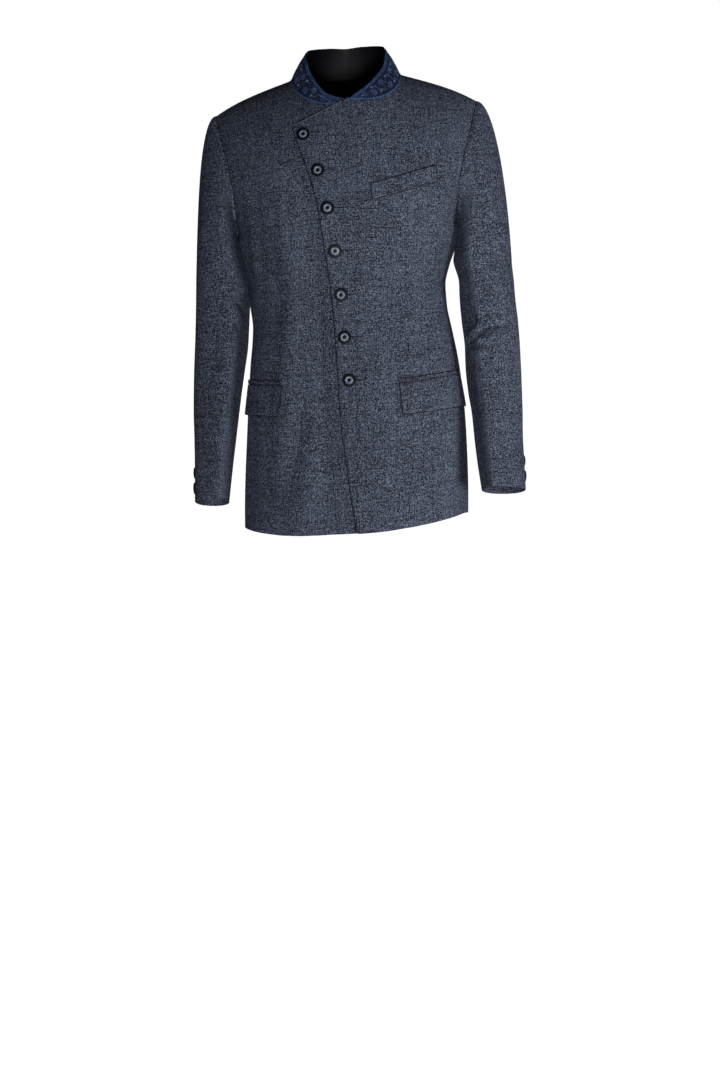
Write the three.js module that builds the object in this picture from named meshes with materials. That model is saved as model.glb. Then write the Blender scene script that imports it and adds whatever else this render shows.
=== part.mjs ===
// Jodhpuri jacket, mm, +Z up, front towards -Y, origin at the centre of the neck base.
// Every cloth piece is a wall of one thickness, laid on a worked-out garment form.
import * as THREE from 'three';

// ---- driving sizes
const wall = 2;             // shell cloth, interlining and facing together
const seamGap = 0.5;        // clear air between pieces that are sewn edge to edge
const overlapLift = 3.4;    // how far the buttoned front rides over the other one
const tabLift = 1.4;        // and how much further at its tab below the collar
const pocketLift = 0.8;     // air under a pocket piece
const pocketWall = 1.6;
const flapFlare = 3;        // how far the lower edge of a flap stands off
const buttonAir = 0.32;
const buttonRadius = 11.3;
const cuffButtonRadius = 9.8;
const armpitHeight = -240;
const lowerSpan = 330;      // height that one unit of rise stands for below the armpit
const sideY = 5;            // the side seams lie in this plane
const shoulderReach = 214;
const shoulderTilt = 0.057; // one shoulder is carried lower than the other
const frontPower = { round: 2.4, top: 2.05 };
const backPower = { round: 2.6, top: 2.6 };
const hemRise = -1.478;
const neckSteps = 9;        // stations on each quarter of the neck, shared by fronts and collar
const backNeckSteps = 7;
const capSteps = 6;
const capFoot = -300;       // height where the sleeve cap ends and the plain sleeve starts

// ---- the garment form
const bodySections = [
  { height: -780, halfWidth: 183.5, front: 132, back: 118 },
  { height: -700, halfWidth: 184, front: 131, back: 122 },
  { height: -580, halfWidth: 180, front: 127, back: 122 },
  { height: -520, halfWidth: 176, front: 125, back: 116 },
  { height: -470, halfWidth: 171, front: 123, back: 108 },
  { height: -420, halfWidth: 163.5, front: 121, back: 102 },
  { height: -385, halfWidth: 158.5, front: 120, back: 100 },
  { height: -350, halfWidth: 157.5, front: 121, back: 101 },
  { height: -320, halfWidth: 163.5, front: 123, back: 104 },
  { height: -290, halfWidth: 171.5, front: 127, back: 110 },
  { height: -240, halfWidth: 182, front: 131, back: 118 },
  { height: -200, halfWidth: 195, front: 131, back: 118 },
  { height: -150, halfWidth: 208, front: 131, back: 118 },
  { height: -100, halfWidth: 214.5, front: 131, back: 118 },
  { height: 40, halfWidth: 214, front: 131, back: 118 },
];
const stance = [
  { height: 0, shift: 0, turn: 0, drop: 0 },
  { height: -150, shift: 3, turn: -1.5, drop: 3 },
  { height: -300, shift: 5.5, turn: -3.5, drop: 9 },
  { height: -380, shift: 8.5, turn: -5, drop: 12 },
  { height: -440, shift: 12, turn: -6.8, drop: 14 },
  { height: -500, shift: 15, turn: -8.5, drop: 16 },
  { height: -600, shift: 17.5, turn: -9.3, drop: 21 },
  { height: -740, shift: 17.7, turn: -10, drop: 25 },
];
const shoulderLine = [
  { out: 0, height: 19.5 },
  { out: 20, height: 19 },
  { out: 45, height: 14.5 },
  { out: 65, height: 8.5 },
  { out: 90, height: 0 },
  { out: 150, height: -20 },
  { out: 180, height: -32 },
  { out: 200, height: -42 },
  { out: 214, height: -50 },
];

// ---- edges drawn on the form: angle from the centre front, rise from hem (-) to shoulder (1)
const overlapEdge = [
  { rise: -1.5, angle: 5.8 },
  { rise: -1.2, angle: 1.9 },
  { rise: -0.98, angle: 0.1 },
  { rise: -0.7, angle: -1.3 },
  { rise: -0.5, angle: -3 },
  { rise: -0.28, angle: -5.2 },
  { rise: -0.05, angle: -8 },
  { rise: 0.07, angle: -9.7 },
  { rise: 0.172, angle: -12.1 },
  { rise: 0.297, angle: -15.8 },
  { rise: 0.42, angle: -19 },
];
const underEdge = [
  { rise: -1.5, angle: 17 },
  { rise: -0.75, angle: 10 },
  { rise: -0.1, angle: 4 },
  { rise: 0.497, angle: 2.4 },
];
const tabTop = [
  { angle: -19, rise: 0.42 },
  { angle: -13.4, rise: 0.436 },
  { angle: -8.3, rise: 0.454 },
  { angle: -3.7, rise: 0.478 },
  { angle: -0.1, rise: 0.511 },
];
// the buttoned front is cut higher at the neck than the one under it
const neckLineLeft = [
  { at: 0, angle: -0.1, rise: 0.511 },
  { at: 0.1, angle: 2.5, rise: 0.5085 },
  { at: 0.2, angle: 5.7, rise: 0.508 },
  { at: 0.3, angle: 9.6, rise: 0.5245 },
  { at: 0.4, angle: 13.1, rise: 0.56 },
  { at: 0.5, angle: 16, rise: 0.6 },
  { at: 0.6, angle: 18.3, rise: 0.65 },
  { at: 0.7, angle: 19.9, rise: 0.715 },
  { at: 0.8, angle: 20.5, rise: 0.8 },
  { at: 1, angle: 20.6, rise: 1 },
];
const neckLineRight = [
  { at: 0, angle: -2, rise: 0.4965 },
  { at: 0.15, angle: 5, rise: 0.503 },
  { at: 0.3, angle: 10.5, rise: 0.54 },
  { at: 0.45, angle: 15, rise: 0.603 },
  { at: 0.6, angle: 18.4, rise: 0.69 },
  { at: 0.8, angle: 20.3, rise: 0.85 },
  { at: 1, angle: 20.6, rise: 1 },
];
const backNeckLine = [
  { at: 1, angle: 161.2, rise: 1 },
  { at: 1.2, angle: 162.75, rise: 0.946 },
  { at: 1.42, angle: 166, rise: 0.865 },
  { at: 1.64, angle: 171.3, rise: 0.802 },
  { at: 1.84, angle: 176.5, rise: 0.769 },
  { at: 2, angle: 180, rise: 0.756 },
];
// round the armhole: turn 0 at the shoulder, 90 in front, 180 under the arm, 270 behind
const armhole = [
  { turn: 0, angle: 90, rise: 1 },
  { turn: 30, angle: 79, rise: 0.72 },
  { turn: 60, angle: 69.5, rise: 0.5 },
  { turn: 90, angle: 64.5, rise: 0.31 },
  { turn: 120, angle: 65, rise: 0.19 },
  { turn: 150, angle: 71.5, rise: 0.075 },
  { turn: 165, angle: 80, rise: 0.01 },
  { turn: 180, angle: 90, rise: -0.04 },
  { turn: 195, angle: 98.5, rise: 0.005 },
  { turn: 210, angle: 104.5, rise: 0.08 },
  { turn: 240, angle: 110, rise: 0.2 },
  { turn: 270, angle: 111.5, rise: 0.33 },
  { turn: 300, angle: 108.5, rise: 0.5 },
  { turn: 330, angle: 100, rise: 0.72 },
  { turn: 360, angle: 90, rise: 1 },
];

// ---- sleeves: out is the distance of the sleeve's middle from the centre plane
const sleeveRight = [
  { height: -240, out: 213, half: 31, middle: 5, deep: 66, slope: 0 },
  { height: -270, out: 210.5, half: 35, middle: 5, deep: 66, slope: 0 },
  { height: -300, out: 207, half: 39, middle: 4, deep: 65, slope: 0.01 },
  { height: -340, out: 202.5, half: 44, middle: 3, deep: 63, slope: 0.02 },
  { height: -393, out: 203, half: 43.8, middle: 0, deep: 61, slope: 0.04 },
  { height: -442, out: 204, half: 43.8, middle: -4, deep: 60, slope: 0.06 },
  { height: -480, out: 207, half: 41.9, middle: -9, deep: 59, slope: 0.08 },
  { height: -518, out: 209.7, half: 39.6, middle: -14, deep: 58, slope: 0.09 },
  { height: -556, out: 211.8, half: 37.3, middle: -20, deep: 56.5, slope: 0.1 },
  { height: -594, out: 213.1, half: 34.5, middle: -27, deep: 55, slope: 0.105 },
  { height: -645, out: 215.2, half: 31, middle: -36, deep: 53, slope: 0.11 },
  { height: -700, out: 217.5, half: 28, middle: -46, deep: 52, slope: 0.11 },
];
const sleeveLeft = [
  { height: -240, out: 229, half: 40, middle: 5, deep: 66, slope: 0 },
  { height: -270, out: 228, half: 44, middle: 5, deep: 66, slope: 0 },
  { height: -300, out: 227.5, half: 47, middle: 4, deep: 65, slope: 0.01 },
  { height: -335, out: 232.6, half: 45.4, middle: 3, deep: 63, slope: 0.02 },
  { height: -362, out: 234.2, half: 45.9, middle: 2, deep: 62, slope: 0.03 },
  { height: -400, out: 238, half: 46.5, middle: 0, deep: 61, slope: 0.04 },
  { height: -442, out: 242, half: 45.5, middle: -5, deep: 60, slope: 0.06 },
  { height: -480, out: 243.5, half: 45.6, middle: -10, deep: 59, slope: 0.08 },
  { height: -518, out: 246, half: 44.2, middle: -16, deep: 58, slope: 0.09 },
  { height: -556, out: 249.4, half: 41.6, middle: -23, deep: 56.5, slope: 0.1 },
  { height: -594, out: 251.2, half: 39.8, middle: -30, deep: 55, slope: 0.105 },
  { height: -632, out: 254.2, half: 38.5, middle: -37, deep: 54, slope: 0.11 },
  { height: -680, out: 258.7, half: 36, middle: -46, deep: 53, slope: 0.11 },
];
const sleeves = {
  right: { side: -1, sections: sleeveRight, foot: -700, fullness: 82 },
  left: { side: 1, sections: sleeveLeft, foot: -680, fullness: 104 },
};
// the under sleeve lies between these two seams
const sleeveSeams = [
  { along: 0, front: 138, back: 236 },
  { along: 0.35, front: 128, back: 250 },
  { along: 1, front: 120, back: 297 },
];

// ---- collar, by distance round the neck from the centre front
const collarShape = [
  { at: 0, left: 2.5, right: 9.5, lean: 22 },
  { at: 0.05, left: 6.2, right: 11.4, lean: 23 },
  { at: 0.1, left: 12, right: 15.5, lean: 24 },
  { at: 0.15, left: 18.8, right: 20.3, lean: 25 },
  { at: 0.22, left: 28.5, right: 27.8, lean: 26 },
  { at: 0.3, left: 37.5, right: 36.8, lean: 27.5 },
  { at: 0.4, left: 44.5, right: 43.8, lean: 28.5 },
  { at: 0.5, left: 49, right: 48, lean: 29 },
  { at: 0.7, left: 51, right: 49.8, lean: 30.5 },
  { at: 1, left: 52.5, right: 52.5, lean: 29 },
  { at: 1.5, left: 55, right: 55, lean: 20 },
  { at: 2, left: 52, right: 52, lean: 12 },
];

// ---- what lies on the fronts
const frontButtons = [
  { angle: -14.2, rise: 0.355 },
  { angle: -8.8, rise: 0.185 },
  { angle: -5.5, rise: 0.038 },
  { angle: -2.7, rise: -0.15 },
  { angle: -0.7, rise: -0.359 },
  { angle: 0.3, rise: -0.561 },
  { angle: 2.1, rise: -0.764 },
];
const cuffButtons = [
  { fromEdge: 49, turn: -24 },
  { fromEdge: 24, turn: -24 },
];
const buttonProfile = [
  { radius: 0, height: 0 },
  { radius: 0.28, height: 0 },
  { radius: 0.28, height: 0.09 },
  { radius: 0.8, height: 0.09 },
  { radius: 1, height: 0.2 },
  { radius: 1, height: 0.33 },
  { radius: 0.88, height: 0.45 },
  { radius: 0.7, height: 0.39 },
  { radius: 0.57, height: 0.48 },
  { radius: 0.4, height: 0.48 },
  { radius: 0.27, height: 0.36 },
  { radius: 0, height: 0.36 },
];
// corners as angle and rise: a is the upper corner nearest the centre, then round the piece
const pockets = {
  chest_welt: { a: [9.1, 0.121], b: [41.4, 0.216], c: [45.1, 0.138], d: [10.4, 0.063], corner: 0 },
  flap_left: { a: [27, -0.8], b: [86, -0.797], c: [87.5, -0.95], d: [27.9, -0.94], corner: 0.006 },
  jetting_left: { a: [26.8, -0.776], b: [84, -0.773], c: [84, -0.79], d: [26.9, -0.793], corner: 0 },
  flap_right: { a: [-86, -0.776], b: [-30.1, -0.776], c: [-32.8, -0.914], d: [-87.5, -0.918],
    corner: 0.006 },
  jetting_right: { a: [-84, -0.752], b: [-29.5, -0.752], c: [-29.7, -0.769], d: [-84, -0.769], corner: 0 },
};

// ---- colours
const clothLook = { color: 0x3f4557, roughness: 0.82, metalness: 0 };
const collarLook = { color: 0x2f3c63, roughness: 0.78, metalness: 0 };
const jettingLook = { color: 0x39333a, roughness: 0.85, metalness: 0 };
const buttonLook = { color: 0x33353d, roughness: 0.45, metalness: 0.35 };

// ---- reading a table: smooth between its rows, never past them
function curve(rows, key, column) {
  const sorted = [...rows].sort((p, q) => p[key] - q[key]);
  const x = sorted.map((row) => row[key]);
  const y = sorted.map((row) => row[column]);
  const last = x.length - 1;
  const step = x.slice(1).map((value, i) => value - x[i]);
  const rate = step.map((width, i) => (y[i + 1] - y[i]) / width);
  const slope = y.map((value, i) => {
    if (i === 0) return rate[0];
    if (i === last) return rate[last - 1];
    if (rate[i - 1] * rate[i] <= 0) return 0;
    const near = 2 * step[i] + step[i - 1];
    const far = step[i] + 2 * step[i - 1];
    return (near + far) / (near / rate[i - 1] + far / rate[i]);
  });
  return (at) => {
    const a = Math.min(Math.max(at, x[0]), x[last]);
    let i = 0;
    while (i < last - 1 && a > x[i + 1]) i += 1;
    const h = step[i];
    const t = (a - x[i]) / h;
    const u = 1 - t;
    return (1 + 2 * t) * u * u * y[i] + t * u * u * h * slope[i]
      + t * t * (3 - 2 * t) * y[i + 1] - t * t * u * h * slope[i + 1];
  };
}

const halfWidthAt = curve(bodySections, 'height', 'halfWidth');
const frontAt = curve(bodySections, 'height', 'front');
const backAt = curve(bodySections, 'height', 'back');
const shiftAt = curve(stance, 'height', 'shift');
const turnAt = curve(stance, 'height', 'turn');
const dropAt = curve(stance, 'height', 'drop');
const shoulderAt = curve(shoulderLine, 'out', 'height');
const overlapAngle = curve(overlapEdge, 'rise', 'angle');
const underAngle = curve(underEdge, 'rise', 'angle');

const radians = (degrees) => (degrees * Math.PI) / 180;
const mix = (a, b, t) => a + (b - a) * t;
const clamp = (value, low, high) => Math.min(Math.max(value, low), high);
const spread = (count) => Array.from({ length: count + 1 }, (_, i) => i / count);
const smooth = (t) => clamp(t, 0, 1) ** 2 * (3 - 2 * clamp(t, 0, 1));

// point of the upright form
function formPoint(angle, rise) {
  const sine = Math.sin(radians(angle));
  const cosine = Math.cos(radians(angle));
  const inFront = Math.abs(angle) <= 90;
  const power = inFront ? frontPower : backPower;
  const across = Math.sign(sine) * Math.abs(sine) ** (2 / power.round);
  const depth = Math.max(Math.abs(cosine), 1e-12) ** (2 / power.round);
  const quarter = radians(90 * clamp(rise, 0, 1));
  const crest = shoulderAt(Math.abs(shoulderReach * across));
  const lift = Math.sin(quarter) ** (2 / power.top);
  const closing = rise < 0 ? 1 : Math.max(Math.cos(quarter), 0) ** (2 / power.top);
  const z = rise < 0 ? armpitHeight + lowerSpan * rise : armpitHeight + (crest - armpitHeight) * lift;
  const level = Math.min(z, armpitHeight);
  const reach = inFront ? -(frontAt(level) + sideY) : backAt(level) - sideY;
  return new THREE.Vector3(halfWidthAt(z) * across, sideY + reach * depth * closing, z);
}

// the upright form, carried as it is worn
function pose(point) {
  const turn = radians(turnAt(point.z));
  const x = point.x * Math.cos(turn) - point.y * Math.sin(turn) + shiftAt(point.z);
  const y = point.x * Math.sin(turn) + point.y * Math.cos(turn);
  const forward = clamp(-point.y / 130, 0, 1.3) ** 1.6;
  return new THREE.Vector3(x, y, point.z + shoulderTilt * x - dropAt(point.z) * forward);
}

function formNormal(angle, rise) {
  const up = clamp(rise, -2, 0.99);
  const across = formPoint(angle + 0.4, up).sub(formPoint(angle - 0.4, up));
  const along = formPoint(angle, up + 0.004).sub(formPoint(angle, up - 0.004));
  return across.cross(along).normalize();
}

// the buttoned front rides over the other one and comes down beyond its edge
function liftAt(angle, rise) {
  const full = overlapLift + tabLift * smooth((rise - 0.2) / 0.2);
  return full * (1 - smooth((angle - underAngle(rise) - 3) / 12));
}

// point on the fronts as worn, so far above the cloth
function frontSurface(angle, rise, side, above) {
  const lift = (side > 0 ? liftAt(angle, rise) : 0) + above;
  const point = formPoint(angle, rise).addScaledVector(formNormal(Math.min(angle, 89), rise), lift);
  return pose(point.setX(point.x * side));
}

// ---- solids from a grid of points
function gridNormals(grid, flip) {
  const normals = grid.map((row) => row.map(() => new THREE.Vector3()));
  for (let i = 0; i + 1 < grid.length; i += 1) {
    for (let j = 0; j + 1 < grid[0].length; j += 1) {
      const across = grid[i + 1][j + 1].clone().sub(grid[i][j]);
      const along = grid[i + 1][j].clone().sub(grid[i][j + 1]);
      const normal = across.cross(along).multiplyScalar(flip ? -1 : 1);
      for (const [a, b] of [[i, j], [i + 1, j], [i, j + 1], [i + 1, j + 1]]) normals[a][b].add(normal);
    }
  }
  return normals.map((row) => row.map((normal) => normal.normalize()));
}

function shell(outer, inner, flip) {
  const rows = outer.length;
  const columns = outer[0].length;
  const layer = rows * columns;
  const position = [...outer.flat(), ...inner.flat()].flatMap((p) => [p.x, p.y, p.z]);
  const index = [];
  const quad = (a, b, c, d) => {
    if (flip) index.push(a, c, b, a, d, c);
    else index.push(a, b, c, a, c, d);
  };
  const id = (i, j) => i * columns + j;
  for (let i = 0; i + 1 < rows; i += 1) {
    for (let j = 0; j + 1 < columns; j += 1) {
      quad(id(i, j), id(i, j + 1), id(i + 1, j + 1), id(i + 1, j));
      quad(layer + id(i, j), layer + id(i + 1, j), layer + id(i + 1, j + 1), layer + id(i, j + 1));
    }
  }
  for (let j = 0; j + 1 < columns; j += 1) {
    quad(id(0, j), layer + id(0, j), layer + id(0, j + 1), id(0, j + 1));
    quad(id(rows - 1, j + 1), layer + id(rows - 1, j + 1), layer + id(rows - 1, j), id(rows - 1, j));
  }
  for (let i = 0; i + 1 < rows; i += 1) {
    quad(id(i + 1, 0), layer + id(i + 1, 0), layer + id(i, 0), id(i, 0));
    quad(id(i, columns - 1), layer + id(i, columns - 1), layer + id(i + 1, columns - 1),
      id(i + 1, columns - 1));
  }
  const geometry = new THREE.BufferGeometry();
  geometry.setAttribute('position', new THREE.Float32BufferAttribute(position, 3));
  geometry.setIndex(index);
  geometry.computeVertexNormals();
  return geometry;
}

const jacket = new THREE.Group();
jacket.name = 'jodhpuri_jacket';

function add(name, geometry, look) {
  const mesh = new THREE.Mesh(geometry, new THREE.MeshStandardMaterial(look));
  mesh.name = name;
  jacket.add(mesh);
}

// ---- body panels: each row runs from the panel's inner edge to the side seam or armhole
const armAngle = curve(armhole, 'turn', 'angle');
const armRise = curve(armhole, 'turn', 'rise');
const neck = {
  left: { angle: curve(neckLineLeft, 'at', 'angle'), rise: curve(neckLineLeft, 'at', 'rise') },
  right: { angle: curve(neckLineRight, 'at', 'angle'), rise: curve(neckLineRight, 'at', 'rise') },
};
const backNeckAngle = curve(backNeckLine, 'at', 'angle');
const backNeckRise = curve(backNeckLine, 'at', 'rise');
const tabRise = curve(tabTop, 'angle', 'rise');

function lowerRows(edgeAngle, count) {
  return spread(count).map((t) => {
    const rise = mix(hemRise, -0.04, t);
    return { start: [edgeAngle(rise), rise], end: [90, rise] };
  });
}

function upperRows(starts, front) {
  return starts.map((start, i) => {
    const turn = mix(180, front ? 0 : 360, (i + 1) / starts.length);
    return { start, end: [armAngle(turn), armRise(turn)] };
  });
}

const neckStarts = (line, count) => spread(count).slice(1).map((t) => [line.angle(t), line.rise(t)]);

function overlapRows() {
  const edge = spread(5).slice(1).map((t) => {
    const rise = mix(-0.04, 0.42, t);
    return [overlapAngle(rise), rise];
  });
  const tab = spread(3).slice(1).map((t) => {
    const angle = mix(-19, -0.1, t);
    return [angle, tabRise(angle)];
  });
  const round = neckStarts(neck.left, neckSteps);
  return [...lowerRows(overlapAngle, 11), ...upperRows([...edge, ...tab, ...round], true)];
}

function underRows() {
  const edge = spread(6).slice(1).map((t) => {
    const rise = mix(-0.04, 0.49, t);
    return [-underAngle(rise), rise];
  });
  const round = neckStarts(neck.right, neckSteps);
  return [...lowerRows((rise) => -underAngle(rise), 11), ...upperRows([...edge, ...round], true)];
}

function backRows() {
  const centre = spread(6).slice(1).map((t) => [180, mix(-0.04, 0.756, t)]);
  const round = spread(backNeckSteps).slice(1).map((t) => [backNeckAngle(2 - t), backNeckRise(2 - t)]);
  return [...lowerRows(() => 180, 11), ...upperRows([...centre, ...round], false)];
}

// side is 1 for the wearer's left; flip keeps the faces outward on the other side
function panel(name, rows, columns, side, front, lift) {
  const flip = (side < 0) === front;
  const nudge = (front ? -0.5 : 0.5) * seamGap;
  const grid = rows.map(({ start, end }) => spread(columns).map((t) => {
    const angle = mix(start[0], end[0], t);
    const rise = mix(start[1], end[1], t);
    const point = formPoint(angle, rise);
    if (lift) point.addScaledVector(formNormal(Math.min(angle, 89), rise), lift(angle, rise));
    return point.setX(point.x * side).add(new THREE.Vector3(0, nudge, 0));
  }));
  const atCentreBack = rows.map(({ start }) => start[0] === 180);
  grid.forEach((row, i) => atCentreBack[i] && row[0].setX(0.5 * seamGap * side));
  const normals = gridNormals(grid, flip);
  const last = grid.length - 1;
  normals.forEach((row, i) => {
    const atSide = i <= 11;
    if (atSide) row[columns].setY(0).normalize();
    if (atCentreBack[i]) row[0].setX(0).normalize();
    if (i === last) row.forEach((normal) => normal.setY(0).normalize());
  });
  const inner = grid.map((row, i) => row.map((p, j) => p.clone().addScaledVector(normals[i][j], -wall)));
  add(name, shell(grid.map((row) => row.map(pose)), inner.map((row) => row.map(pose)), flip), clothLook);
}

panel('front_left', overlapRows(), 14, 1, true, liftAt);
panel('front_right', underRows(), 13, -1, true, null);
panel('back_left', backRows(), 11, 1, false, null);
panel('back_right', backRows(), 11, -1, false, null);

// ---- sleeves
function sleeveForm(sleeve) {
  const { side, sections, foot, fullness } = sleeve;
  const read = (column) => curve(sections, 'height', column);
  const out = read('out');
  const half = read('half');
  const middle = read('middle');
  const deep = read('deep');
  const slope = read('slope');
  const ring = (turn, height) => {
    const cosine = Math.cos(radians(turn));
    const sine = Math.sin(radians(turn));
    const across = Math.sign(cosine) * Math.abs(cosine) ** 0.92;
    const ahead = Math.sign(sine) * Math.abs(sine) ** 0.92;
    const y = middle(height) - deep(height) * ahead;
    const x = side * (out(height) + half(height) * across);
    return new THREE.Vector3(x, y, height - slope(height) * (y - middle(height)));
  };
  const seat = (turn) => {
    const round = ((turn % 360) + 360) % 360;
    const point = formPoint(armAngle(round), armRise(round));
    return pose(point.setX(point.x * side)).add(new THREE.Vector3(side * (seamGap + 0.1), 0, 0));
  };
  const cap = (turn, t) => {
    const start = seat(turn);
    const end = ring(turn, capFoot);
    const reach = start.distanceTo(end);
    const high = (1 + Math.cos(radians(turn))) / 2;
    const leave = new THREE.Vector3(side, 0, 0).multiplyScalar(mix(24, fullness, high));
    const arrive = end.clone().sub(ring(turn, capFoot + 10)).normalize().multiplyScalar(reach);
    const u = 1 - t;
    return start.multiplyScalar((1 + 2 * t) * u * u)
      .addScaledVector(end, t * t * (3 - 2 * t))
      .addScaledVector(leave, t * u * u)
      .addScaledVector(arrive, -t * t * u);
  };
  return { side, ring, cap, foot };
}

const seamFront = curve(sleeveSeams, 'along', 'front');
const seamBack = curve(sleeveSeams, 'along', 'back');

function sleevePiece(name, form, upper, columns) {
  const steps = 10;
  const capShare = 0.3;
  const rows = [
    ...spread(capSteps).map((t) => ({ along: t * capShare, at: (turn) => form.cap(turn, t) })),
    ...spread(steps).slice(1).map((t) => ({
      along: mix(capShare, 1, t),
      at: (turn) => form.ring(turn, mix(capFoot, form.foot, t)),
    })),
  ];
  const clear = 0.32;
  const grid = rows.map(({ along, at }) => {
    const from = upper ? seamBack(along) - 360 + clear : seamFront(along) + clear;
    const to = upper ? seamFront(along) - clear : seamBack(along) - clear;
    return spread(columns).map((t) => at(mix(from, to, t)));
  });
  const flip = form.side < 0;
  const inner = rows.map(({ along, at }, i) => {
    const from = upper ? seamBack(along) - 360 + clear : seamFront(along) + clear;
    const to = upper ? seamFront(along) - clear : seamBack(along) - clear;
    const above = rows[Math.max(i - 1, 0)].at;
    const below = rows[Math.min(i + 1, rows.length - 1)].at;
    return spread(columns).map((t, j) => {
      const turn = mix(from, to, t);
      const round = at(turn + 3).sub(at(turn - 3));
      const inward = round.cross(above(turn).sub(below(turn))).normalize();
      return grid[i][j].clone().addScaledVector(inward, wall * form.side);
    });
  });
  add(name, shell(grid, inner, flip), clothLook);
}

for (const [name, sleeve] of Object.entries(sleeves)) {
  const form = sleeveForm(sleeve);
  sleevePiece(`top_sleeve_${name}`, form, true, 18);
  sleevePiece(`under_sleeve_${name}`, form, false, 11);
}

// ---- collar, one band open at the centre front
const leanAt = curve(collarShape, 'at', 'lean');
const tallAt = { left: curve(collarShape, 'at', 'left'), right: curve(collarShape, 'at', 'right') };

// the neck seam of one side: on the left it lies on the buttoned front
function neckPoint(round, hand) {
  const inFront = round <= 1;
  const angle = inFront ? neck[hand].angle(round) : backNeckAngle(Math.min(round, 2));
  const rise = inFront ? neck[hand].rise(round) : backNeckRise(Math.min(round, 2));
  const point = formPoint(angle, rise);
  if (inFront && hand === 'left') point.addScaledVector(formNormal(angle, rise), liftAt(angle, rise));
  return hand === 'left' ? point : point.setX(-point.x);
}

function collarPoint(at, up) {
  const hand = at < 0 ? 'right' : 'left';
  const round = Math.abs(at);
  const along = neckPoint(Math.min(round + 0.04, 2), hand).sub(neckPoint(Math.max(round - 0.04, 0), hand));
  along.multiplyScalar(Math.sign(at));
  const inward = new THREE.Vector3(-along.y, along.x, 0).normalize();
  if (round > 1.96) inward.set(0, -1, 0);
  const lean = radians(leanAt(round));
  const rise = 1.2 + tallAt[hand](round) * up;
  return neckPoint(round, hand).addScaledVector(inward, rise * Math.sin(lean))
    .add(new THREE.Vector3(0, 0, rise * Math.cos(lean)));
}

function collar() {
  // from the centre front round the back of the neck to the centre front again
  const quarter = spread(neckSteps).map((t) => Math.max(t, 0.012));
  const behind = spread(backNeckSteps).slice(1).map((t) => 1 + t);
  const half = [...quarter, ...behind];
  const round = [...half, ...half.slice(0, -1).reverse().map((at) => -at)];
  const grid = spread(4).map((up) => round.map((at) => collarPoint(at, up)));
  const normals = gridNormals(grid, false);
  const inner = grid.map((row, i) => row.map((p, j) => p.clone().addScaledVector(normals[i][j], -wall)));
  add('collar', shell(grid.map((row) => row.map(pose)), inner.map((row) => row.map(pose)), false), collarLook);
}
collar();

// ---- pocket pieces
function pocket(name, corners) {
  const { a, b, c, d, corner } = corners;
  const side = Math.sign(a[0]);
  const columns = name === 'chest_welt' ? 6 : 8;
  const rows = name.startsWith('flap') ? 4 : 1;
  const grid = spread(rows).map((v) => spread(columns).map((u) => {
    const lip = corner * Math.max(0, 1 - Math.min(u, 1 - u) / 0.12) ** 2;
    const angle = mix(mix(d[0], c[0], u), mix(a[0], b[0], u), v);
    const rise = mix(mix(d[1], c[1], u) + lip, mix(a[1], b[1], u), v);
    const round = Math.abs(angle);
    const flare = rows > 1 ? flapFlare * (1 - v) : 0;
    const lift = (side > 0 ? liftAt(round, rise) : 0) + pocketLift + pocketWall + flare;
    const point = formPoint(round, rise).addScaledVector(formNormal(Math.min(round, 89), rise), lift);
    return point.setX(point.x * side).add(new THREE.Vector3(0, -0.5 * seamGap, 0));
  }));
  const normals = gridNormals(grid, false);
  const inner = grid.map((row, i) => row.map((p, j) => p.clone()
    .addScaledVector(normals[i][j], -pocketWall)));
  const look = name.startsWith('jetting') ? jettingLook : clothLook;
  add(name, shell(grid.map((row) => row.map(pose)), inner.map((row) => row.map(pose)), false), look);
}
for (const [name, corners] of Object.entries(pockets)) pocket(name, corners);

// ---- buttons
function button(name, seat, normal, radius) {
  const profile = buttonProfile.map((p) => new THREE.Vector2(p.radius * radius, p.height * radius));
  const geometry = new THREE.LatheGeometry(profile, 12);
  const turn = new THREE.Quaternion().setFromUnitVectors(new THREE.Vector3(0, 1, 0), normal);
  geometry.applyQuaternion(turn);
  geometry.translate(seat.x, seat.y, seat.z);
  add(name, geometry, buttonLook);
}

frontButtons.forEach(({ angle, rise }, i) => {
  const across = frontSurface(angle + 4, rise, 1, 0).sub(frontSurface(angle - 4, rise, 1, 0));
  const along = frontSurface(angle, rise + 0.05, 1, 0).sub(frontSurface(angle, rise - 0.05, 1, 0));
  const normal = across.cross(along).normalize();
  button(`button_${i + 1}`, frontSurface(angle, rise, 1, buttonAir), normal, buttonRadius);
});

for (const [name, sleeve] of Object.entries(sleeves)) {
  const form = sleeveForm(sleeve);
  cuffButtons.forEach(({ fromEdge, turn }, i) => {
    const height = form.foot + fromEdge;
    const seat = form.ring(turn, height);
    const round = form.ring(turn + 2, height).sub(form.ring(turn - 2, height));
    const down = form.ring(turn, height - 4).sub(form.ring(turn, height + 4));
    const normal = round.cross(down).normalize().multiplyScalar(sleeve.side);
    seat.addScaledVector(normal, buttonAir);
    button(`cuff_button_${name}_${i + 1}`, seat, normal, cuffButtonRadius);
  });
}

export default jacket;
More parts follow.
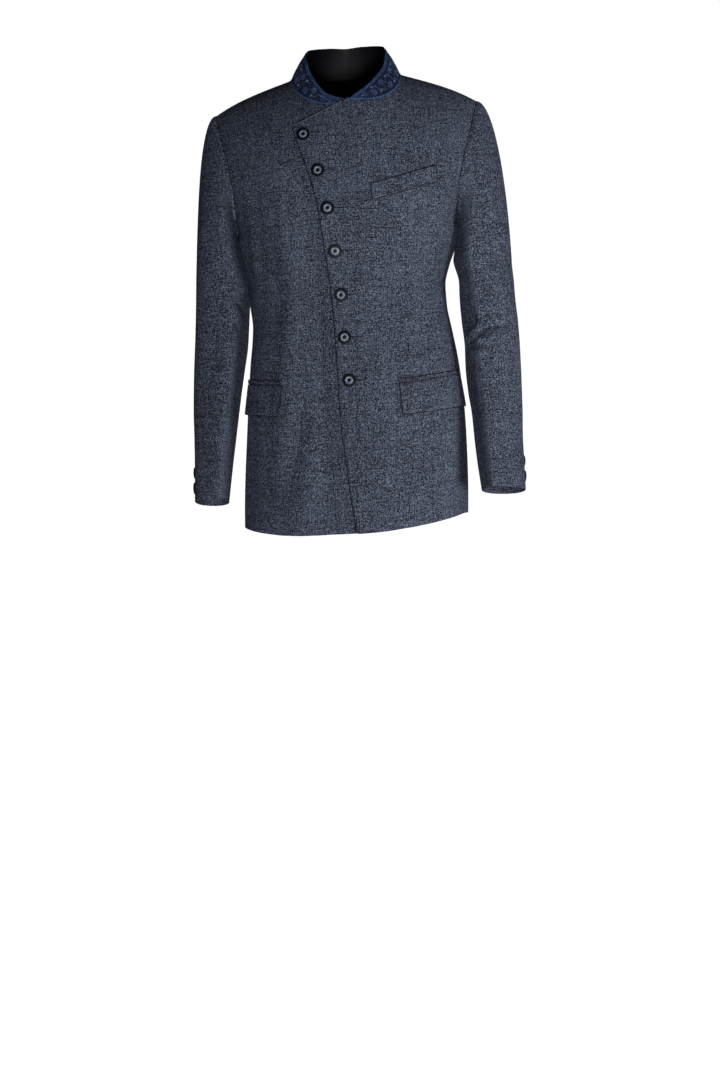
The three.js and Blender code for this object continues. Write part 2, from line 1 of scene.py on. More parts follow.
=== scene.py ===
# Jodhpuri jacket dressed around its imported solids. Forms are worked out in millimetres and stored in metres.
import bpy
import math
import numpy as np
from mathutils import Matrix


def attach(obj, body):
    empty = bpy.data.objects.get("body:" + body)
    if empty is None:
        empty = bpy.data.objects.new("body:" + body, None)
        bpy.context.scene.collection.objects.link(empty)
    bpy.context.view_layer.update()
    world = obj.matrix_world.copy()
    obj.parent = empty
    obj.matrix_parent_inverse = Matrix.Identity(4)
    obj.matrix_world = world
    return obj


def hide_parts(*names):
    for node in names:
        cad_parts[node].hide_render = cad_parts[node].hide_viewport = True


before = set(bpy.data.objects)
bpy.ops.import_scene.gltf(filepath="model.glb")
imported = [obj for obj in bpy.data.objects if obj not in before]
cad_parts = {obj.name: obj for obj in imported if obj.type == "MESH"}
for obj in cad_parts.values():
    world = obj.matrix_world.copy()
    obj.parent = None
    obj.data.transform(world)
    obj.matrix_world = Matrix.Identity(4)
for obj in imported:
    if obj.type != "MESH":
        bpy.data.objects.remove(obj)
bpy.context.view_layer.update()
metre = 0.001
print("frame loaded")


def table(columns, *rows):
    names = columns.split()
    return [dict(zip(names, row)) for row in rows]


# the garment form, the same one the solids are laid on
garment = {
    "wall": 2.0, "overlapLift": 3.4, "tabLift": 1.4, "pocketLift": 0.8, "pocketWall": 1.6,
    "flapFlare": 3.0, "armpit": -240.0, "lowerSpan": 330.0, "sideY": 5.0, "shoulderReach": 214.0,
    "shoulderTilt": 0.057, "hemRise": -1.478, "capFoot": -300.0,
    "frontRound": 2.4, "frontTop": 2.05, "backRound": 2.6, "backTop": 2.6,
}
bodySections = table(
    "height halfWidth front back",
    (-780, 183.5, 132, 118), (-700, 184, 131, 122), (-580, 180, 127, 122), (-520, 176, 125, 116),
    (-470, 171, 123, 108), (-420, 163.5, 121, 102), (-385, 158.5, 120, 100), (-350, 157.5, 121, 101),
    (-320, 163.5, 123, 104), (-290, 171.5, 127, 110), (-240, 182, 131, 118), (-200, 195, 131, 118),
    (-150, 208, 131, 118), (-100, 214.5, 131, 118), (40, 214, 131, 118))
stance = table(
    "height shift turn drop",
    (0, 0, 0, 0), (-150, 3, -1.5, 3), (-300, 5.5, -3.5, 9), (-380, 8.5, -5, 12),
    (-440, 12, -6.8, 14), (-500, 15, -8.5, 16), (-600, 17.5, -9.3, 21), (-740, 17.7, -10, 25))
shoulderLine = table(
    "out height",
    (0, 19.5), (20, 19), (45, 14.5), (65, 8.5), (90, 0), (150, -20), (180, -32), (200, -42), (214, -50))
overlapEdge = table(
    "rise angle",
    (-1.5, 5.8), (-1.2, 1.9), (-0.98, 0.1), (-0.7, -1.3), (-0.5, -3), (-0.28, -5.2), (-0.05, -8),
    (0.07, -9.7), (0.172, -12.1), (0.297, -15.8), (0.42, -19))
underEdge = table("rise angle", (-1.5, 17), (-0.75, 10), (-0.1, 4), (0.497, 2.4))
tabTop = table("angle rise", (-19, 0.42), (-13.4, 0.436), (-8.3, 0.454), (-3.7, 0.478), (-0.1, 0.511))
# the buttoned front is cut higher at the neck than the one under it
neckLineLeft = table(
    "at angle rise",
    (0, -0.1, 0.511), (0.1, 2.5, 0.5085), (0.2, 5.7, 0.508), (0.3, 9.6, 0.5245), (0.4, 13.1, 0.56),
    (0.5, 16, 0.6), (0.6, 18.3, 0.65), (0.7, 19.9, 0.715), (0.8, 20.5, 0.8), (1, 20.6, 1))
neckLineRight = table(
    "at angle rise",
    (0, -2, 0.4965), (0.15, 5, 0.503), (0.3, 10.5, 0.54), (0.45, 15, 0.603), (0.6, 18.4, 0.69),
    (0.8, 20.3, 0.85), (1, 20.6, 1))
backNeckLine = table(
    "at angle rise",
    (1, 161.2, 1), (1.2, 162.75, 0.946), (1.42, 166, 0.865), (1.64, 171.3, 0.802),
    (1.84, 176.5, 0.769), (2, 180, 0.756))
armhole = table(
    "turn angle rise",
    (0, 90, 1), (30, 79, 0.72), (60, 69.5, 0.5), (90, 64.5, 0.31), (120, 65, 0.19), (150, 71.5, 0.075),
    (165, 80, 0.01), (180, 90, -0.04), (195, 98.5, 0.005), (210, 104.5, 0.08), (240, 110, 0.2),
    (270, 111.5, 0.33), (300, 108.5, 0.5), (330, 100, 0.72), (360, 90, 1))


# reads a table smoothly between its rows, never past them
def curve(rows, key, column):
    ordered = sorted(rows, key=lambda row: row[key])
    x = np.array([row[key] for row in ordered], float)
    y = np.array([row[column] for row in ordered], float)
    step = np.diff(x)
    rate = np.diff(y) / step
    slope = np.zeros_like(y)
    slope[0], slope[-1] = rate[0], rate[-1]
    for i in range(1, len(y) - 1):
        if rate[i - 1] * rate[i] > 0:
            near, far = 2 * step[i] + step[i - 1], step[i] + 2 * step[i - 1]
            slope[i] = (near + far) / (near / rate[i - 1] + far / rate[i])

    def read(at):
        a = np.clip(np.asarray(at, float), x[0], x[-1])
        i = np.clip(np.searchsorted(x, a, side="right") - 1, 0, len(step) - 1)
        h = step[i]
        t = (a - x[i]) / h
        u = 1 - t
        return ((1 + 2 * t) * u * u * y[i] + t * u * u * h * slope[i]
                + t * t * (3 - 2 * t) * y[i + 1] - t * t * u * h * slope[i + 1])

    return read


halfWidthAt, frontAt, backAt = (curve(bodySections, "height", c) for c in ("halfWidth", "front", "back"))
shiftAt, turnAt, dropAt = (curve(stance, "height", c) for c in ("shift", "turn", "drop"))
shoulderAt = curve(shoulderLine, "out", "height")
overlapAngle = curve(overlapEdge, "rise", "angle")
underAngle = curve(underEdge, "rise", "angle")
tabRise = curve(tabTop, "angle", "rise")
neckAngle = {1: curve(neckLineLeft, "at", "angle"), -1: curve(neckLineRight, "at", "angle")}
neckRise = {1: curve(neckLineLeft, "at", "rise"), -1: curve(neckLineRight, "at", "rise")}
backNeckAngle, backNeckRise = curve(backNeckLine, "at", "angle"), curve(backNeckLine, "at", "rise")
armAngle, armRise = curve(armhole, "turn", "angle"), curve(armhole, "turn", "rise")


def mix(a, b, t):
    return a + (b - a) * t


def smooth(t):
    t = np.clip(t, 0, 1)
    return t * t * (3 - 2 * t)


def unit(vectors):
    return vectors / np.maximum(np.linalg.norm(vectors, axis=-1, keepdims=True), 1e-12)


def lengthAlong(path):
    return np.concatenate([[0], np.cumsum(np.linalg.norm(np.diff(path, axis=0), axis=-1))])


def formPoint(angle, rise):
    angle, rise = np.broadcast_arrays(np.asarray(angle, float), np.asarray(rise, float))
    g = garment
    sine, cosine = np.sin(np.radians(angle)), np.cos(np.radians(angle))
    inFront = np.abs(angle) <= 90
    roundness = np.where(inFront, g["frontRound"], g["backRound"])
    top = np.where(inFront, g["frontTop"], g["backTop"])
    across = np.sign(sine) * np.abs(sine) ** (2 / roundness)
    depth = np.maximum(np.abs(cosine), 1e-12) ** (2 / roundness)
    quarter = np.radians(90 * np.clip(rise, 0, 1))
    crest = shoulderAt(np.abs(g["shoulderReach"] * across))
    lift = np.sin(quarter) ** (2 / top)
    closing = np.where(rise < 0, 1, np.maximum(np.cos(quarter), 0) ** (2 / top))
    z = np.where(rise < 0, g["armpit"] + g["lowerSpan"] * rise, g["armpit"] + (crest - g["armpit"]) * lift)
    level = np.minimum(z, g["armpit"])
    reach = np.where(inFront, -(frontAt(level) + g["sideY"]), backAt(level) - g["sideY"])
    return np.stack([halfWidthAt(z) * across, g["sideY"] + reach * depth * closing, z], -1)


def formNormal(angle, rise):
    up = np.clip(rise, -2, 0.99)
    across = formPoint(angle + 0.4, up) - formPoint(angle - 0.4, up)
    along = formPoint(angle, up + 0.004) - formPoint(angle, up - 0.004)
    return unit(np.cross(across, along))


def pose(points):
    x, y, z = points[..., 0], points[..., 1], points[..., 2]
    turn = np.radians(turnAt(z))
    px = x * np.cos(turn) - y * np.sin(turn) + shiftAt(z)
    py = x * np.sin(turn) + y * np.cos(turn)
    forward = np.clip(-y / 130, 0, 1.3) ** 1.6
    return np.stack([px, py, z + garment["shoulderTilt"] * px - dropAt(z) * forward], -1)


def liftAt(angle, rise):
    full = garment["overlapLift"] + garment["tabLift"] * smooth((rise - 0.2) / 0.2)
    return full * (1 - smooth((angle - underAngle(rise) - 3) / 12))


# soft troughs and ridges of the body, angle counted from the centre front to the wearer's left
bodyFolds = table(
    "angle rise wide tall depth slant",
    (-29, -0.6, 7.5, 0.75, 7.4, 0), (-8, -0.85, 3.6, 0.62, -5.2, -7.5), (-24, -1.12, 4.5, 0.25, -3.8, 31),
    (-15, -1.2, 4.5, 0.35, 3.4, 10), (-57, -0.48, 8, 0.12, -1.6, -150), (-48, 0.02, 5, 0.22, -3.0, 22),
    (-56, -0.15, 4, 0.2, 2.2, 22), (-62, -0.42, 8, 0.1, -2.2, 40), (16, -1.2, 5, 0.5, 1.2, -3),
    (24, -1.25, 5, 0.3, -1.2, -4), (31, -1.25, 5, 0.3, 1.6, -3), (57, -0.48, 8, 0.12, -4.8, 152),
    (45, -0.46, 8, 0.14, 2.6, 150), (47, 0.0, 5, 0.22, -3.2, -20), (56, -0.14, 4.5, 0.2, 2.4, -22),
    (66, -1.05, 6, 0.35, 2.4, -5), (-68, -1.05, 6, 0.35, 2.4, 5))
backFolds = table(
    "angle rise wide tall depth slant",
    (112, 0.05, 5, 0.22, -3.2, 22), (128, -0.42, 9, 0.09, -3.0, 50), (140, -0.3, 7, 0.1, 2.4, 55),
    (158, -1.15, 6, 0.5, 2.6, 4), (146, -1.2, 5, 0.4, -2.4, 4))
bodyFolds += backFolds + [dict(fold, angle=-fold["angle"], slant=-fold["slant"]) for fold in backFolds]


def bodyDrape(angle, rise):
    total = np.zeros(np.broadcast(angle, rise).shape)
    for fold in bodyFolds:
        away = (angle - fold["angle"] - fold["slant"] * (rise - fold["rise"])) / fold["wide"]
        up = (rise - fold["rise"]) / fold["tall"]
        total += fold["depth"] * np.exp(-away ** 2 - up ** 2)
    # calm at the neck and along the shoulders, where the cloth is held
    return total * (1 - smooth((rise - 0.3) / 0.25))


# the drape dies out at the side seams and the centre back, where the seams hold the cloth
def calmDrape(angle, rise):
    fromSeam = np.abs(np.abs(angle) - 90)
    calm = np.where(fromSeam < 14, 0.2 + 0.8 * smooth(fromSeam / 14), 1)
    return bodyDrape(angle, rise) * calm * smooth((180 - np.abs(angle)) / 14)


# how far the body swells out under the sleeves, by the wearer's side
sideEase = {
    -1: table("rise out", (-0.6, 0), (-0.52, 1), (-0.44, 5), (-0.358, 8.5), (-0.288, 6.5), (-0.212, 5),
              (-0.136, 4.8), (-0.09, 4.8), (-0.06, 4.2), (-0.045, 1.5), (-0.03, 0)),
    1: table("rise out", (-0.333, 0), (-0.242, 1.5), (-0.158, 4.2), (-0.1, 5.2), (-0.06, 4.6),
             (-0.045, 2), (-0.03, 0)),
}


def easeAt(angle, rise, side):
    return curve(sideEase[side], "rise", "out")(rise) * np.exp(-((np.abs(angle) - 90) / 30) ** 2)


# point on the fronts as worn, so far above the cloth; angle is counted to the piece's own side
def frontSurface(angle, rise, side, above):
    angle, rise = np.broadcast_arrays(np.asarray(angle, float), np.asarray(rise, float))
    lift = (liftAt(angle, rise) if side > 0 else 0) + above + calmDrape(angle * side, rise)
    points = formPoint(angle, rise) + formNormal(np.minimum(angle, 89), rise) * lift[..., None]
    points[..., 0] *= side
    return pose(points)


# cloth coordinates on the body: across along the form, up along its height, in metres
sampleAngle = np.linspace(-30, 180, 211)
sampleRise = np.concatenate([np.linspace(-1.52, -0.02, 76), np.linspace(0, 1, 61)])
sampleForm = formPoint(sampleAngle[None, :], sampleRise[:, None])
acrossStep = np.linalg.norm(np.diff(sampleForm, axis=1), axis=-1)
acrossLength = np.concatenate([np.zeros((len(sampleRise), 1)), np.cumsum(acrossStep, 1)], 1)
acrossLength -= acrossLength[:, 30:31]
upStep = np.linalg.norm(np.diff(sampleForm, axis=0), axis=-1)
upLength = np.concatenate([np.zeros((1, len(sampleAngle))), np.cumsum(upStep, 0)], 0)


def clothPlace(angle, rise):
    column = np.interp(angle, sampleAngle, np.arange(len(sampleAngle)))
    row = np.interp(rise, sampleRise, np.arange(len(sampleRise)))
    i = np.clip(row.astype(int), 0, len(sampleRise) - 2)
    j = np.clip(column.astype(int), 0, len(sampleAngle) - 2)
    a, b = row - i, column - j
    found = []
    for grid in (acrossLength, upLength):
        found.append((1 - a) * ((1 - b) * grid[i, j] + b * grid[i, j + 1])
                     + a * ((1 - b) * grid[i + 1, j] + b * grid[i + 1, j + 1]))
    return np.stack(found, -1) * metre


# shader groups
def socket(group, inOut, kind, name, value=None):
    made = group.interface.new_socket(name=name, in_out=inOut, socket_type="NodeSocket" + kind)
    if value is not None:
        made.default_value = value


class Nodes:
    def __init__(self, tree):
        self.tree = tree
        tree.nodes.clear()

    def plug(self, target, value):
        if isinstance(value, bpy.types.NodeSocket):
            self.tree.links.new(value, target)
        else:
            target.default_value = value

    def add(self, kind, inputs=(), **settings):
        node = self.tree.nodes.new(kind)
        for name, value in settings.items():
            setattr(node, name, value)
        for place, value in dict(inputs).items():
            self.plug(node.inputs[place], value)
        return node

    def math(self, operation, a, b):
        return self.add("ShaderNodeMath", {0: a, 1: b}, operation=operation).outputs[0]

    def total(self, *values):
        result = values[0]
        for value in values[1:]:
            result = self.math("ADD", result, value)
        return result

    def remap(self, value, low, high, toLow=0.0, toHigh=1.0):
        inputs = dict(enumerate((value, low, high, toLow, toHigh)))
        return self.add("ShaderNodeMapRange", inputs, clamp=True).outputs[0]

    def colours(self, factor, a, b):
        return self.add("ShaderNodeMix", {"Factor": factor, 6: a, 7: b}, data_type="RGBA").outputs[2]

    # vector stretched so many times each way, and shifted so that no two patterns agree
    def stretch(self, vector, x, y, z=1.0, shift=0.0):
        scaled = self.add("ShaderNodeVectorMath", {0: vector, 1: (x, y, z)}, operation="MULTIPLY")
        moved = {0: scaled.outputs[0], 1: (shift, shift * 0.7, shift * 1.3)}
        return self.add("ShaderNodeVectorMath", moved, operation="ADD").outputs[0]

    def noise(self, vector, detail=2.0, roughness=0.5):
        inputs = {"Vector": vector, "Scale": 1.0, "Detail": detail, "Roughness": roughness, "Distortion": 0.0}
        return self.add("ShaderNodeTexNoise", inputs).outputs["Fac"]


# the slubbed weave: across and up are marks to the metre, low and high the noise that they fade in over
weaveSizes = {"low": 0.435, "high": 0.58, "streak": 0.7, "cloud": 0.3, "ribs": ((280, 0.11), (330, 0.07))}
weaveThreads = table(
    "name across up shift detail rough share",
    ("fleck", 430, 450, 0, 1.5, 0.6, 0.60), ("warp", 470, 26, 3.1, 2, 0.6, 0.18),
    ("weft", 30, 560, 7.7, 2, 0.6, 0.11), ("thread", 1150, 1100, 4.4, 1, 0.5, 0.11),
    ("longWarp", 130, 3, 1.3, 1, 0.5, 0.5), ("longWeft", 7, 210, 9.2, 1, 0.5, 0.5),
    ("cloud", 14, 11, 5.5, 2, 0.5, 1))
weaveMarks = table(
    "name across up shift low high strength colour",
    ("speck", 600, 560, 15, 0.59, 0.66, 0.75, (0.31, 0.36, 0.48, 1)),
    ("pale", 95, 600, 12, 0.70, 0.78, 0.3, (0.22, 0.25, 0.31, 1)),
    ("dash", 110, 640, 21, 0.65, 0.70, 0.9, (0.010, 0.011, 0.017, 1)),
    ("line", 22, 640, 41, 0.65, 0.71, 0.85, (0.014, 0.016, 0.024, 1)),
    ("knot", 360, 470, 31, 0.645, 0.67, 0.95, (0.004, 0.004, 0.007, 1)))


def makeSlubWeave():
    group = bpy.data.node_groups.new("slubWeave", "ShaderNodeTree")
    socket(group, "INPUT", "Vector", "Cloth")
    socket(group, "INPUT", "Color", "Ground", (0.05, 0.06, 0.09, 1))
    socket(group, "INPUT", "Color", "Yarn", (0.16, 0.19, 0.25, 1))
    socket(group, "INPUT", "Float", "Slubs", 1.0)
    socket(group, "OUTPUT", "Color", "Colour")
    socket(group, "OUTPUT", "Float", "Height")
    socket(group, "OUTPUT", "Float", "Roughness")
    n = Nodes(group)
    start = n.add("NodeGroupInput").outputs
    threads, shared = {}, {}
    for row in weaveThreads:
        place = n.stretch(start["Cloth"], row["across"], row["up"], 1, row["shift"])
        threads[row["name"]] = n.noise(place, row["detail"], row["rough"])
        shared[row["name"]] = n.math("MULTIPLY", threads[row["name"]], row["share"])
    body = n.total(*(shared[name] for name in ("fleck", "warp", "weft", "thread")))
    streak = n.total(shared["longWarp"], shared["longWeft"])
    tone = n.remap(body, weaveSizes["low"], weaveSizes["high"])
    for value, weight in ((streak, weaveSizes["streak"]), (shared["cloud"], weaveSizes["cloud"])):
        tone = n.total(tone, n.math("MULTIPLY", n.math("SUBTRACT", value, 0.5), weight))
    # the threads themselves, so many to the metre each way
    split = n.add("ShaderNodeSeparateXYZ", {0: start["Cloth"]}).outputs
    for way, (count, weight) in enumerate(weaveSizes["ribs"]):
        turn = n.math("MULTIPLY", split[way], 2 * math.pi * count)
        ribs = n.add("ShaderNodeMath", {0: turn}, operation="SINE").outputs[0]
        tone = n.total(tone, n.math("MULTIPLY", ribs, weight))
    colour = n.colours(n.remap(tone, 0.0, 1.0), start["Ground"], start["Yarn"])
    marks = {}
    for row in weaveMarks:
        mark = n.noise(n.stretch(start["Cloth"], row["across"], row["up"], 1, row["shift"]), 1.0)
        mark = n.remap(mark, row["low"], row["high"])
        if row["name"] != "speck":
            mark = n.math("MULTIPLY", mark, start["Slubs"])
        colour = n.colours(n.math("MULTIPLY", mark, row["strength"]), colour, row["colour"])
        marks[row["name"]] = mark
    height = n.total(n.math("MULTIPLY", body, 0.8), n.math("MULTIPLY", marks["pale"], 0.4),
                     n.math("MULTIPLY", marks["knot"], 0.4))
    n.add("NodeGroupOutput", {"Colour": colour, "Height": height,
                              "Roughness": n.remap(threads["fleck"], 0.3, 0.7, 0.82, 0.62)})
    return group


slubWeave = makeSlubWeave()


def newMaterial(name, sheen=0.0, specular=0.5, metallic=0.0, roughness=0.6):
    material = bpy.data.materials.new(name)
    material.use_nodes = True
    n = Nodes(material.node_tree)
    shader = n.add("ShaderNodeBsdfPrincipled", {
        "Sheen Weight": sheen, "Sheen Roughness": 0.45, "Sheen Tint": (0.75, 0.82, 1.0, 1),
        "Specular IOR Level": specular, "Metallic": metallic, "Roughness": roughness})
    n.add("ShaderNodeOutputMaterial", {"Surface": shader.outputs[0]})
    return material, n, shader.inputs


def clothVector(n):
    return n.add("ShaderNodeUVMap", uv_map="cloth").outputs[0]


def bump(n, look, height, strength, distance):
    relief = n.add("ShaderNodeBump", {"Strength": strength, "Distance": distance, "Height": height})
    n.plug(look["Normal"], relief.outputs[0])


def slubCloth(name, ground, yarn, slubs, sheen):
    material, n, look = newMaterial(name, sheen=sheen, specular=0.16)
    weave = n.add("ShaderNodeGroup", node_tree=slubWeave)
    for label, value in (("Cloth", clothVector(n)), ("Ground", (*ground, 1)), ("Yarn", (*yarn, 1)),
                         ("Slubs", slubs)):
        n.plug(weave.inputs[label], value)
    n.plug(look["Base Color"], weave.outputs["Colour"])
    n.plug(look["Roughness"], weave.outputs["Roughness"])
    bump(n, look, weave.outputs["Height"], 0.5, 0.0006)
    return material


def plainCloth(name, dark, light, scale, sheen, specular, roughness, strength):
    material, n, look = newMaterial(name, sheen=sheen, specular=specular, roughness=roughness)
    vector = clothVector(n)
    warp = n.noise(n.stretch(vector, scale, scale * 0.08), 2.0, 0.6)
    weft = n.noise(n.stretch(vector, scale * 0.08, scale, 1, 4.0), 2.0, 0.6)
    both = n.total(n.math("MULTIPLY", warp, 0.5), n.math("MULTIPLY", weft, 0.5))
    n.plug(look["Base Color"], n.colours(n.remap(both, 0.35, 0.65), (*dark, 1), (*light, 1)))
    bump(n, look, both, strength, 0.0004)
    return material


def threadLook(name, dark, light, specular=0.18, roughness=0.5, metallic=0.0, scale=900.0, strength=0.35):
    material, n, look = newMaterial(name, specular=specular, metallic=metallic, roughness=roughness)
    place = n.add("ShaderNodeTexCoord").outputs["Object"]
    grain = n.noise(n.stretch(place, scale, scale, scale), 2.0, 0.6)
    patch = n.noise(n.stretch(place, 140, 140, 140, 6.0), 1.0)
    tone = n.total(n.math("MULTIPLY", grain, 0.6), n.math("MULTIPLY", patch, 0.4))
    n.plug(look["Base Color"], n.colours(n.remap(tone, 0.36, 0.62), (*dark, 1), (*light, 1)))
    n.plug(look["Roughness"], n.remap(grain, 0.3, 0.7, roughness + 0.08, roughness - 0.08))
    bump(n, look, grain, strength, 0.0003)
    return material


# each finish from its darkest to its lightest thread
finishes = {
    "rawSilk": (slubCloth, (0.0040, 0.0048, 0.009), (0.144, 0.167, 0.248), 1.0, 0.02),
    "satinLining": (plainCloth, (0.003, 0.003, 0.005), (0.006, 0.006, 0.010), 900, 0.0, 0.12, 0.5, 0.15),
    "collarGround": (plainCloth, (0.006, 0.008, 0.020), (0.034, 0.042, 0.085), 1100, 0.02, 0.15, 0.7, 0.4),
    "jettingCloth": (slubCloth, (0.004, 0.004, 0.008), (0.124, 0.126, 0.178), 0.6, 0.02),
    # dark thread, and also the colour of the tubes laid as painted shadow lines
    "darkThread": (threadLook, (0.0015, 0.0018, 0.003), (0.008, 0.0095, 0.015)),
    # pale thread, and also the colour of the painted highlight on the tab edge
    "greyThread": (threadLook, (0.12, 0.14, 0.18), (0.28, 0.31, 0.38)),
    "brightBlueThread": (threadLook, (0.022, 0.065, 0.19), (0.095, 0.190, 0.46)),
    "deepBlueThread": (threadLook, (0.018, 0.040, 0.12), (0.062, 0.125, 0.31)),
    "maroonThread": (threadLook, (0.045, 0.024, 0.030), (0.16, 0.085, 0.095)),
    "mistThread": (threadLook, (0.16, 0.19, 0.28), (0.42, 0.47, 0.60)),
    "buttonLacquer": (threadLook, (0.0008, 0.001, 0.0025), (0.007, 0.009, 0.017), 0.2, 0.4, 0.0, 700, 0.25),
    "pewter": (threadLook, (0.10, 0.115, 0.16), (0.42, 0.46, 0.57), 0.5, 0.45, 0.3, 600, 0.4),
}
looks = {name: make(name, *sizes) for name, (make, *sizes) in finishes.items()}
print("cloth finishes made")


# making cloth
def gridNormals(grid, flip):
    normals = np.zeros_like(grid)
    cross = np.cross(grid[1:, 1:] - grid[:-1, :-1], grid[1:, :-1] - grid[:-1, 1:]) * (-1 if flip else 1)
    for a, b in ((slice(None, -1), slice(None, -1)), (slice(1, None), slice(None, -1)),
                 (slice(None, -1), slice(1, None)), (slice(1, None), slice(1, None))):
        normals[a, b] += cross
    return unit(normals)


def meshPiece(name, vertices, faces, uvs, slots, materials):
    mesh = bpy.data.meshes.new(name)
    mesh.from_pydata((np.asarray(vertices) * metre).tolist(), [], faces)
    mesh.update()
    layer = mesh.uv_layers.new(name="cloth")
    corner = np.empty(len(mesh.loops), np.int32)
    mesh.loops.foreach_get("vertex_index", corner)
    layer.data.foreach_set("uv", np.asarray(uvs, np.float32)[corner].ravel())
    for material in materials:
        mesh.materials.append(material)
    mesh.polygons.foreach_set("material_index", np.asarray(slots, np.int32))
    mesh.polygons.foreach_set("use_smooth", np.ones(len(mesh.polygons), bool))
    piece = bpy.data.objects.new(name, mesh)
    bpy.context.collection.objects.link(piece)
    return piece


# a wall of cloth on a grid of points; fold says how round each edge is, from 0, cut, to 1, folded
def clothWall(name, grid, uv, flip, wall, fold, materials, inner=None, outerSlots=None, innerSlots=None):
    rows, columns = grid.shape[:2]
    inside = grid - gridNormals(grid, flip) * wall if inner is None else inner
    index = np.arange(rows * columns).reshape(rows, columns)
    loop = np.concatenate([index[0, :], index[1:, -1], index[-1, -2::-1], index[-2:0:-1, 0]])
    outward = np.zeros_like(grid)
    outward[0] += unit(grid[0] - grid[1])
    outward[-1] += unit(grid[-1] - grid[-2])
    outward[:, 0] += unit(grid[:, 0] - grid[:, 1])
    outward[:, -1] += unit(grid[:, -1] - grid[:, -2])
    roundness = np.zeros((rows, columns))
    roundness[0], roundness[-1] = fold["bottom"], fold["top"]
    roundness[:, 0] = np.maximum(roundness[:, 0] * 0, fold["start"])
    roundness[:, -1] = fold["end"]
    flatGrid, flatIn = grid.reshape(-1, 3), inside.reshape(-1, 3)
    away = unit(outward.reshape(-1, 3)[loop])
    bulge = roundness.reshape(-1)[loop][:, None]
    middle = (flatGrid[loop] + flatIn[loop]) / 2
    half = flatGrid[loop] - middle
    reach = np.linalg.norm(half, axis=1, keepdims=True)
    vertices = [flatGrid, flatIn]
    uvs = [uv.reshape(-1, 2)] * 2
    rings = [loop]
    total = 2 * rows * columns
    for turn in (45, 90, 135):
        c, s = math.cos(math.radians(turn)), math.sin(math.radians(turn))
        vertices.append(middle + half * c + away * reach * bulge * s)
        uvs.append(uv.reshape(-1, 2)[loop])
        rings.append(np.arange(total, total + len(loop)))
        total += len(loop)
    rings.append(loop + rows * columns)
    a, b, c, d = index[:-1, :-1], index[:-1, 1:], index[1:, 1:], index[1:, :-1]
    outerFaces = np.stack([a, b, c, d], -1).reshape(-1, 4)
    innerFaces = outerFaces[:, ::-1] + rows * columns
    rim = []
    for first, second in zip(rings[:-1], rings[1:]):
        nextFirst, nextSecond = np.roll(first, -1), np.roll(second, -1)
        rim.append(np.stack([nextFirst, first, second, nextSecond], -1))
    faces = np.concatenate([outerFaces, innerFaces, *rim])
    if flip:
        faces = faces[:, ::-1]
    slots = np.zeros(len(faces), int)
    slots[len(outerFaces):2 * len(outerFaces)] = len(materials) - 1
    if outerSlots is not None:
        slots[:len(outerFaces)] = outerSlots.ravel()
        slots[2 * len(outerFaces):] = len(materials) - 1
    if innerSlots is not None:
        slots[len(outerFaces):2 * len(outerFaces)] = innerSlots.ravel()
    return meshPiece(name, np.concatenate(vertices), faces.tolist(), np.concatenate(uvs), slots, materials)


# hangs a cloth piece on the root and hides the solid of the same name
def declareCloth(piece, node):
    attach(piece, "root")
    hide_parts(node)


# sewing by geometry nodes: one stitch of thread at every point, laid along it
def makeSewing():
    tree = bpy.data.node_groups.new("sewing", "GeometryNodeTree")
    socket(tree, "INPUT", "Geometry", "Geometry")
    for name, value in (("Length", 0.002), ("Width", 0.0006), ("Height", 0.0005), ("Uneven", 0.12)):
        socket(tree, "INPUT", "Float", name, value)
    socket(tree, "INPUT", "Int", "Seed", 7)
    socket(tree, "INPUT", "Material", "Thread")
    socket(tree, "OUTPUT", "Geometry", "Geometry")
    n = Nodes(tree)

    def named(label):
        node = n.add("GeometryNodeInputNamedAttribute", {"Name": label}, data_type="FLOAT_VECTOR")
        return node.outputs["Attribute"]

    start = n.add("NodeGroupInput").outputs
    bead = n.add("GeometryNodeMeshUVSphere", {"Segments": 7, "Rings": 5, "Radius": 0.5})
    size = n.add("ShaderNodeCombineXYZ", {"X": start["Length"], "Y": start["Width"], "Z": start["Height"]})
    change = n.add("FunctionNodeRandomValue", {
        2: n.math("SUBTRACT", 1.0, start["Uneven"]), 3: n.math("ADD", 1.0, start["Uneven"]),
        "Seed": start["Seed"]}, data_type="FLOAT")
    scaled = n.add("ShaderNodeVectorMath", {0: size.outputs[0]}, operation="SCALE")
    n.plug(scaled.inputs["Scale"], change.outputs[1])
    own = n.add("ShaderNodeVectorMath", {0: scaled.outputs[0], 1: named("size")}, operation="MULTIPLY")
    axes = {"Primary Axis": named("away"), "Secondary Axis": named("along")}
    turn = n.add("FunctionNodeAxesToRotation", axes, primary_axis="Z", secondary_axis="X")
    stitches = n.add("GeometryNodeInstanceOnPoints", {
        "Points": start["Geometry"], "Instance": bead.outputs["Mesh"], "Rotation": turn.outputs[0],
        "Scale": own.outputs[0]})
    real = n.add("GeometryNodeRealizeInstances", {0: stitches.outputs[0]})
    soft = n.add("GeometryNodeSetShadeSmooth", {0: real.outputs[0]})
    dyed = n.add("GeometryNodeSetMaterial", {"Geometry": soft.outputs[0], "Material": start["Thread"]})
    n.add("NodeGroupOutput", {0: dyed.outputs[0]})
    return tree


sewing = makeSewing()
socketOf = {item.name: item.identifier for item in sewing.interface.items_tree if item.in_out == "INPUT"}


